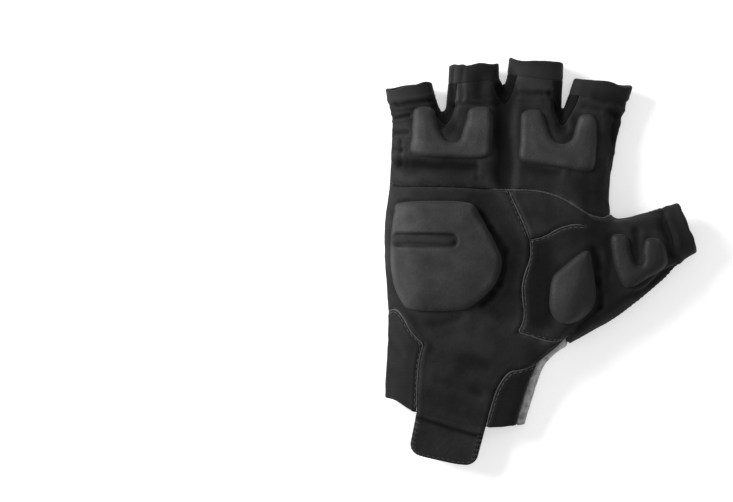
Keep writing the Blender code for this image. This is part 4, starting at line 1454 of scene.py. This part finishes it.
def pipedSeam(name, firsts, seconds, sides):
    width = glove["palmWidth"]
    faint = np.array(seamWork["faint"]) * width
    runs = seamRuns(firsts, seconds)
    if name == "thumb-top-seam":
        runs = [run if run[0, 0] < run[-1, 0] else run[::-1] for run in runs]
        runs = [run[:np.argmax(run[:, 0] > seamWork["endAcross"] * width)] for run in runs]
    if name == "knuckle-seam":
        runs = [run[run[:, 0] > faint[0]] for run in runs]
    piping = ([], [])
    for run in runs:
        spots, normals = onSkin(run, seamWork["pipingLift"])
        steps = np.arange(len(run))
        radii = np.clip(np.minimum(steps, steps[::-1]) / 6, .15, 1)  # thin ends
        radii *= 1 + waved(spots, seamWork["uneven"], 6)
        if name == "knuckle-seam":
            radii *= np.interp(spots[:, 0], faint, seamWork["faintShares"])
        tubeInto(piping, smoothed(spots, 2), normals, seamWork["pipingRadius"] * radii, 8, .8)
    shapePiece(name, piping, "piping", "leather")
    offsets = [side * seamWork["stitchAway"] for side in sides]
    stitchRows(name + "-thread", runs, offsets, seamWork["stitchLift"], seamWork["stitch"],
               "thread", "leather")


print("seams")
for seamName, (firsts, seconds, sides) in pipedSeams.items():
    pipedSeam(seamName, firsts, seconds, sides)


def plainSeam(name, firsts, seconds, offsets, slotFrom, finish="thread"):
    stitchRows(name, seamRuns(firsts, seconds), [offset * mm for offset in offsets],
               seamWork["plainLift"], seamWork["plainStitch"], finish, slotFrom)


backPanels = ("back_panel", "thumb_back_panel")
plainSeam("back-cuff-thread", ("back_cuff_panel",), backPanels, (1.3, -1.3), "grey")
plainSeam("thumb-web-thread", backPanels, ("thumb_palm_panel", "thumb_back_panel"), (1.2,), "mesh")
for finger in fingers + (thumb,):
    plainSeam("hem-thread-" + finger[0], ("hem_" + finger[0],),
              ("finger_palm_panel", "thumb_palm_panel", *backPanels, *gussets),
              (1.1, -1.1), "hem", "darkThread")


tab = {
    "length": 19 * mm,
    "thickness": 2.0 * mm,
    "lean": -13,                  # degrees
    "endHeight": 10.8 * mm,
    "gap": 0.3 * mm,
    "corner": 5.2 * mm,
    "rows": 52,
    "narrow": (.985, .035),       # its width at the root, and how much of it is lost along the tab
    "droop": ((0, .18, .40, .62, .80, .93, 1), (0, .08, .34, .68, .90, .98, 1)),
    "foldAt": 3.4 * mm,           # where the folded end is sewn down
    "foldSlant": 1.4 * mm,
    "foldDepth": 0.80 * mm,
    "foldWidth": 0.70 * mm,
    "foldShade": .9,
    "foldShadeWidth": 1.1 * mm,
    "edgeShade": .75,
    "puff": 0.60 * mm,
    "waves": ((.18 * mm, 5 * mm), (.10 * mm, 2 * mm)),
    "edgeRound": 1.1 * mm,
    "notchDepth": 0.25 * mm,      # the overlock thread pulls the edge in
    "notchWidth": 1.3 * mm,
    "overlockPitch": 2.3 * mm,
    "overlockLength": 2.7 * mm,
    "overlockFrom": 1.5 * mm,     # past the fold
    "overlockLift": 0.08 * mm,
    "overlockRadius": 0.20 * mm,
    "seamInset": 1.3 * mm,        # the row of stitches inside the edge
    "seamLift": 0.04 * mm,
    "stitch": (1.5 * mm, 0.8 * mm, 0.17 * mm),
}


# How far a rounded corner cuts into a straight edge, by the distance from the end.
def cornerCut(corner, rest):
    return corner - np.sqrt(np.maximum(corner ** 2 - np.maximum(corner - rest, 0) ** 2, 0))


def gridFaces(rows, columns):
    starts = [r * columns + c for r in range(rows - 1) for c in range(columns - 1)]
    return [[start, start + columns, start + columns + 1, start + 1] for start in starts]


# The faces of a thin sheet: the upper grid, the lower one behind it and the rim between them.
def sheetFaces(rows, columns):
    count = rows * columns
    upper = gridFaces(rows, columns)
    lower = [[vert + count for vert in face[::-1]] for face in upper]
    rim = list(range(0, count, columns)) + list(range(count - columns + 1, count))
    rim += list(range(count - columns - 1, 0, -columns)) + list(range(columns - 2, 0, -1))
    return upper + lower + [[b, a, a + count, b + count] for a, b in zip(rim, rim[1:] + rim[:1])]


# The folded tab at the heel: it carries on from the palm, droops a little and ends round.
def pullTab():
    root = skinPoints[max(runsOf(skinOpenings[tagOf["palm_panel"]]), key=len)]
    root = resampled(root if root[0][0] < root[-1][0] else root[::-1], .55 * mm)
    lean = math.radians(tab["lean"])
    down = np.array((math.sin(lean), -math.cos(lean), 0))
    middle = (root[0] + root[-1]) / 2
    half = np.linalg.norm(root[-1][:2] - root[0][:2]) / 2
    along = tab["length"] * (np.arange(tab["rows"] + 1)[:, None] / tab["rows"]) ** .9
    side, rest = np.linspace(-1, 1, len(root)), tab["length"] - along
    widest, lost = tab["narrow"]
    narrow = widest - lost * along / tab["length"] - cornerCut(tab["corner"], rest) / half
    droop = np.interp(along / tab["length"], *tab["droop"])
    flat = middle + (root - middle) * narrow[:, :, None] + down * (tab["gap"] + along)[:, :, None]
    height = middle[2] + (tab["endHeight"] - middle[2]) * droop + (root[:, 2] - middle[2]) * (1 - droop)
    toEdge = np.minimum((1 - np.abs(side)) * half * narrow, rest)
    drop = tab["thickness"] / 2 * (1 - np.sqrt(1 - (1 - np.clip(toEdge / tab["edgeRound"], 0, 1)) ** 2))
    fromFold = along - side * tab["foldSlant"] - tab["foldAt"]
    puff = tab["puff"] * np.sin(np.clip(fromFold / (tab["length"] * .8), 0, 1) * math.pi)
    plan = (flat * (1, 1, 0)).reshape(-1, 3)
    waves = sum(waved(plan, look) for look in tab["waves"]).reshape(height.shape)
    notch = .5 + .5 * np.sin(2 * math.pi * along / tab["overlockPitch"])
    sewn = notch * bell(toEdge, tab["notchWidth"]) * (along > tab["foldAt"])
    # Painted shade in the sewn fold and in the overlock notches along the edges.
    paintedShade = np.maximum(tab["foldShade"] * bell(fromFold, tab["foldShadeWidth"]), tab["edgeShade"] * sewn)
    pressed = tab["foldDepth"] * bell(fromFold, tab["foldWidth"]) + tab["notchDepth"] * sewn
    top = np.dstack((flat[:, :, :2], height - drop - pressed + puff + waves))
    bottom = np.dstack((flat[:, :, :2], height - tab["thickness"] + drop))
    values = {"seamAway": np.full(2 * paintedShade.size, .004, dtype=np.float32),
              "paintedShadeAndLight": np.tile(paintedShade.ravel(), 2).astype(np.float32)}
    piece = meshObject("pull-tab", np.vstack((top, bottom)).reshape(-1, 3), sheetFaces(*top.shape[:2]),
                       [finishes["leather"]], None, values)
    dress(piece, "leather", "pull_tab")
    return top, down


# Points laid onto a surface from above. Those beside it stay where they are.
def laidOn(tree, points, lift):
    laid = []
    for point in points:
        hit = tree.ray_cast(Vector((point[0], point[1], .05)), Vector((0, 0, -1)))[0]
        laid.append(np.array(hit) + (0, 0, lift) if hit else point)
    return np.array(laid)


def tabStitches(top, down):
    thread = ([], [])
    up = np.array((0, 0, 1.0))
    rows, columns = top.shape[:2]
    tree = BVHTree.FromPolygons(top.reshape(-1, 3).tolist(), gridFaces(rows, columns))
    radii = np.array((.6, 1, 1, 1, 1, .6)) * tab["overlockRadius"]
    reach, drift = np.linspace(.2 * mm, tab["overlockLength"], 6), np.linspace(0, .35 * mm, 6)
    for side in (0, -1):
        line = top[:, side]
        inward = unit(top[:, columns // 2] - line)
        along = lengthsAlong(line)
        firstAt = tab["foldAt"] + tab["overlockFrom"]
        for start in np.arange(firstAt, along[-1] - .5 * mm, tab["overlockPitch"]):
            base, way = pointsAt(start, along, line), pointsAt(start, along, inward)
            points = base + np.outer(reach, way) + np.outer(drift, down)
            tubeInto(thread, laidOn(tree, points, tab["overlockLift"]), [up] * 6, radii)
    loop = np.vstack((top[10:, 0], top[-1, 1:], top[10:, -1][::-1]))
    inset = loop + unit(top.mean(axis=(0, 1)) - loop) * tab["seamInset"]
    spots = laidOn(tree, resampled(smoothed(inset, 3), .5 * mm), tab["seamLift"])
    stitchesInto(thread, spots, np.tile(up, (len(spots), 1)), tab["stitch"])
    shapePiece("pull-tab-thread", thread, "darkThread", "leather")


print("pull tab")
tabStitches(*pullTab())


film = {
    "width": 7.0 * mm,
    "length": 23.0 * mm,
    "thickness": 0.22 * mm,
    "lift": 0.04 * mm,
    "corner": 1.2 * mm,
    "barLength": 0.9 * mm,
    "barPitch": 1.9 * mm,
    "barCount": 4,
    "step": 0.5 * mm,
    "stitchAt": 6.6 * mm,        # the hem's stitching crosses the strip here
    "stitchRadius": 0.34 * mm,
}
filmLean = math.radians(fingers[3][5])
filmDown = np.array((-math.sin(filmLean), -math.cos(filmLean), 0))
filmAcross = np.array((math.cos(filmLean), -math.sin(filmLean), 0))
filmTip = np.array(place(*fingers[3][1:3])) + filmDown * glove["hemLength"] * .15


# Places over the film by their distance from its tip and their share of its half width, and the
# height of the cloth above them.
def filmPlaces(along, share):
    flat = filmTip + filmDown * along[..., None] + filmAcross * (film["width"] / 2 * share)[..., None]
    return flat[..., :2], np.vectorize(lambda x, y: skinHeight(x, y, 1))(flat[..., 0], flat[..., 1])


# The film on the back of the index finger: a strip and bars below it, pressed onto the cloth.
def filmPiece(node, start, length):
    rows, columns = max(2, int(length / film["step"])) + 1, int(film["width"] / film["step"]) + 1
    along = np.linspace(0, length, rows)[:, None] * np.ones(columns)
    cut = cornerCut(min(film["corner"], length / 3), np.minimum(along, length - along))
    share = np.linspace(-1, 1, columns) * (1 - 2 * cut / film["width"])
    flat, ground = filmPlaces(start + along, share)
    near = np.dstack((flat, np.maximum(ground + film["lift"], .04 * mm)))
    far = np.dstack((flat, np.maximum(ground - film["thickness"], .01 * mm)))
    piece = meshObject(node.replace("_", "-"), np.vstack((near, far)).reshape(-1, 3),
                       sheetFaces(rows, columns), [finishes["film"]])
    dress(piece, "film", node)


print("reflective film")
filmPiece("reflective_strip", 0, film["length"])
for number in range(film["barCount"]):
    barStart = film["length"] + film["barPitch"] * (number + .6)
    filmPiece(f"reflective_bar_{number + 1}", barStart, film["barLength"])
crossing, crossingHeight = filmPlaces(np.full(15, film["stitchAt"]), np.linspace(-1, 1, 15))
crossing = np.column_stack((crossing, crossingHeight + .02 * mm))
filmStitch = ([], [])
tubeInto(filmStitch, crossing, np.tile((0, 0, -1.0), (15, 1)), np.full(15, film["stitchRadius"]), 6)
shapePiece("reflective-strip-stitch", filmStitch, "darkThread", "film")


stageLook = {
    "floorSize": 3.0,
    "cameraCentre": (-.0623, .00855),
    "cameraHeight": 2.0,
    "palmLevel": .012,
    "frameWidth": .32985,    # the photo's frame, at the palm's level
    "worldStrength": .35,
    "floorGlow": .45,        # the sweep is lit from behind, so that shadows on it stay pale
    "keyPower": 11.0,
    "keySize": .42,
    "keyPlace": (-.71, .34, .44),
    "topPower": 4.0,
    "topSize": 1.2,
    "topPlace": (.2, .1, 1.6),
}


def areaLight(name, power, size, location, target=(0, 0, 0)):
    data = bpy.data.lights.new(name, 'AREA')
    data.energy = power
    data.size = size
    light = bpy.data.objects.new(name, data)
    light.location = location
    light.rotation_euler = (Vector(target) - Vector(location)).to_track_quat('-Z', 'Y').to_euler()
    light.visible_camera = False
    bpy.context.scene.collection.objects.link(light)


def stage():
    half = stageLook["floorSize"] / 2
    corners = [(-half, -half, 0), (half, -half, 0), (half, half, 0), (-half, half, 0)]
    floor = meshObject("floor", corners, [[0, 1, 2, 3]], [floorFinish()])
    world = bpy.data.worlds.new("softWhite")
    world.use_nodes = True
    background = world.node_tree.nodes["Background"]
    background.inputs["Color"].default_value = (1, 1, 1, 1)
    background.inputs["Strength"].default_value = stageLook["worldStrength"]
    bpy.context.scene.world = world
    areaLight("key", stageLook["keyPower"], stageLook["keySize"], stageLook["keyPlace"])
    areaLight("top", stageLook["topPower"], stageLook["topSize"], stageLook["topPlace"])
    data = bpy.data.cameras.new("camera")
    height = stageLook["cameraHeight"]
    data.lens = data.sensor_width * (height - stageLook["palmLevel"]) / stageLook["frameWidth"]
    camera = bpy.data.objects.new("camera", data)
    camera.location = (*stageLook["cameraCentre"], height)
    bpy.context.scene.collection.objects.link(camera)
    bpy.context.scene.camera = camera
    bpy.context.scene.view_settings.view_transform = 'Standard'


print("stage")
stage()
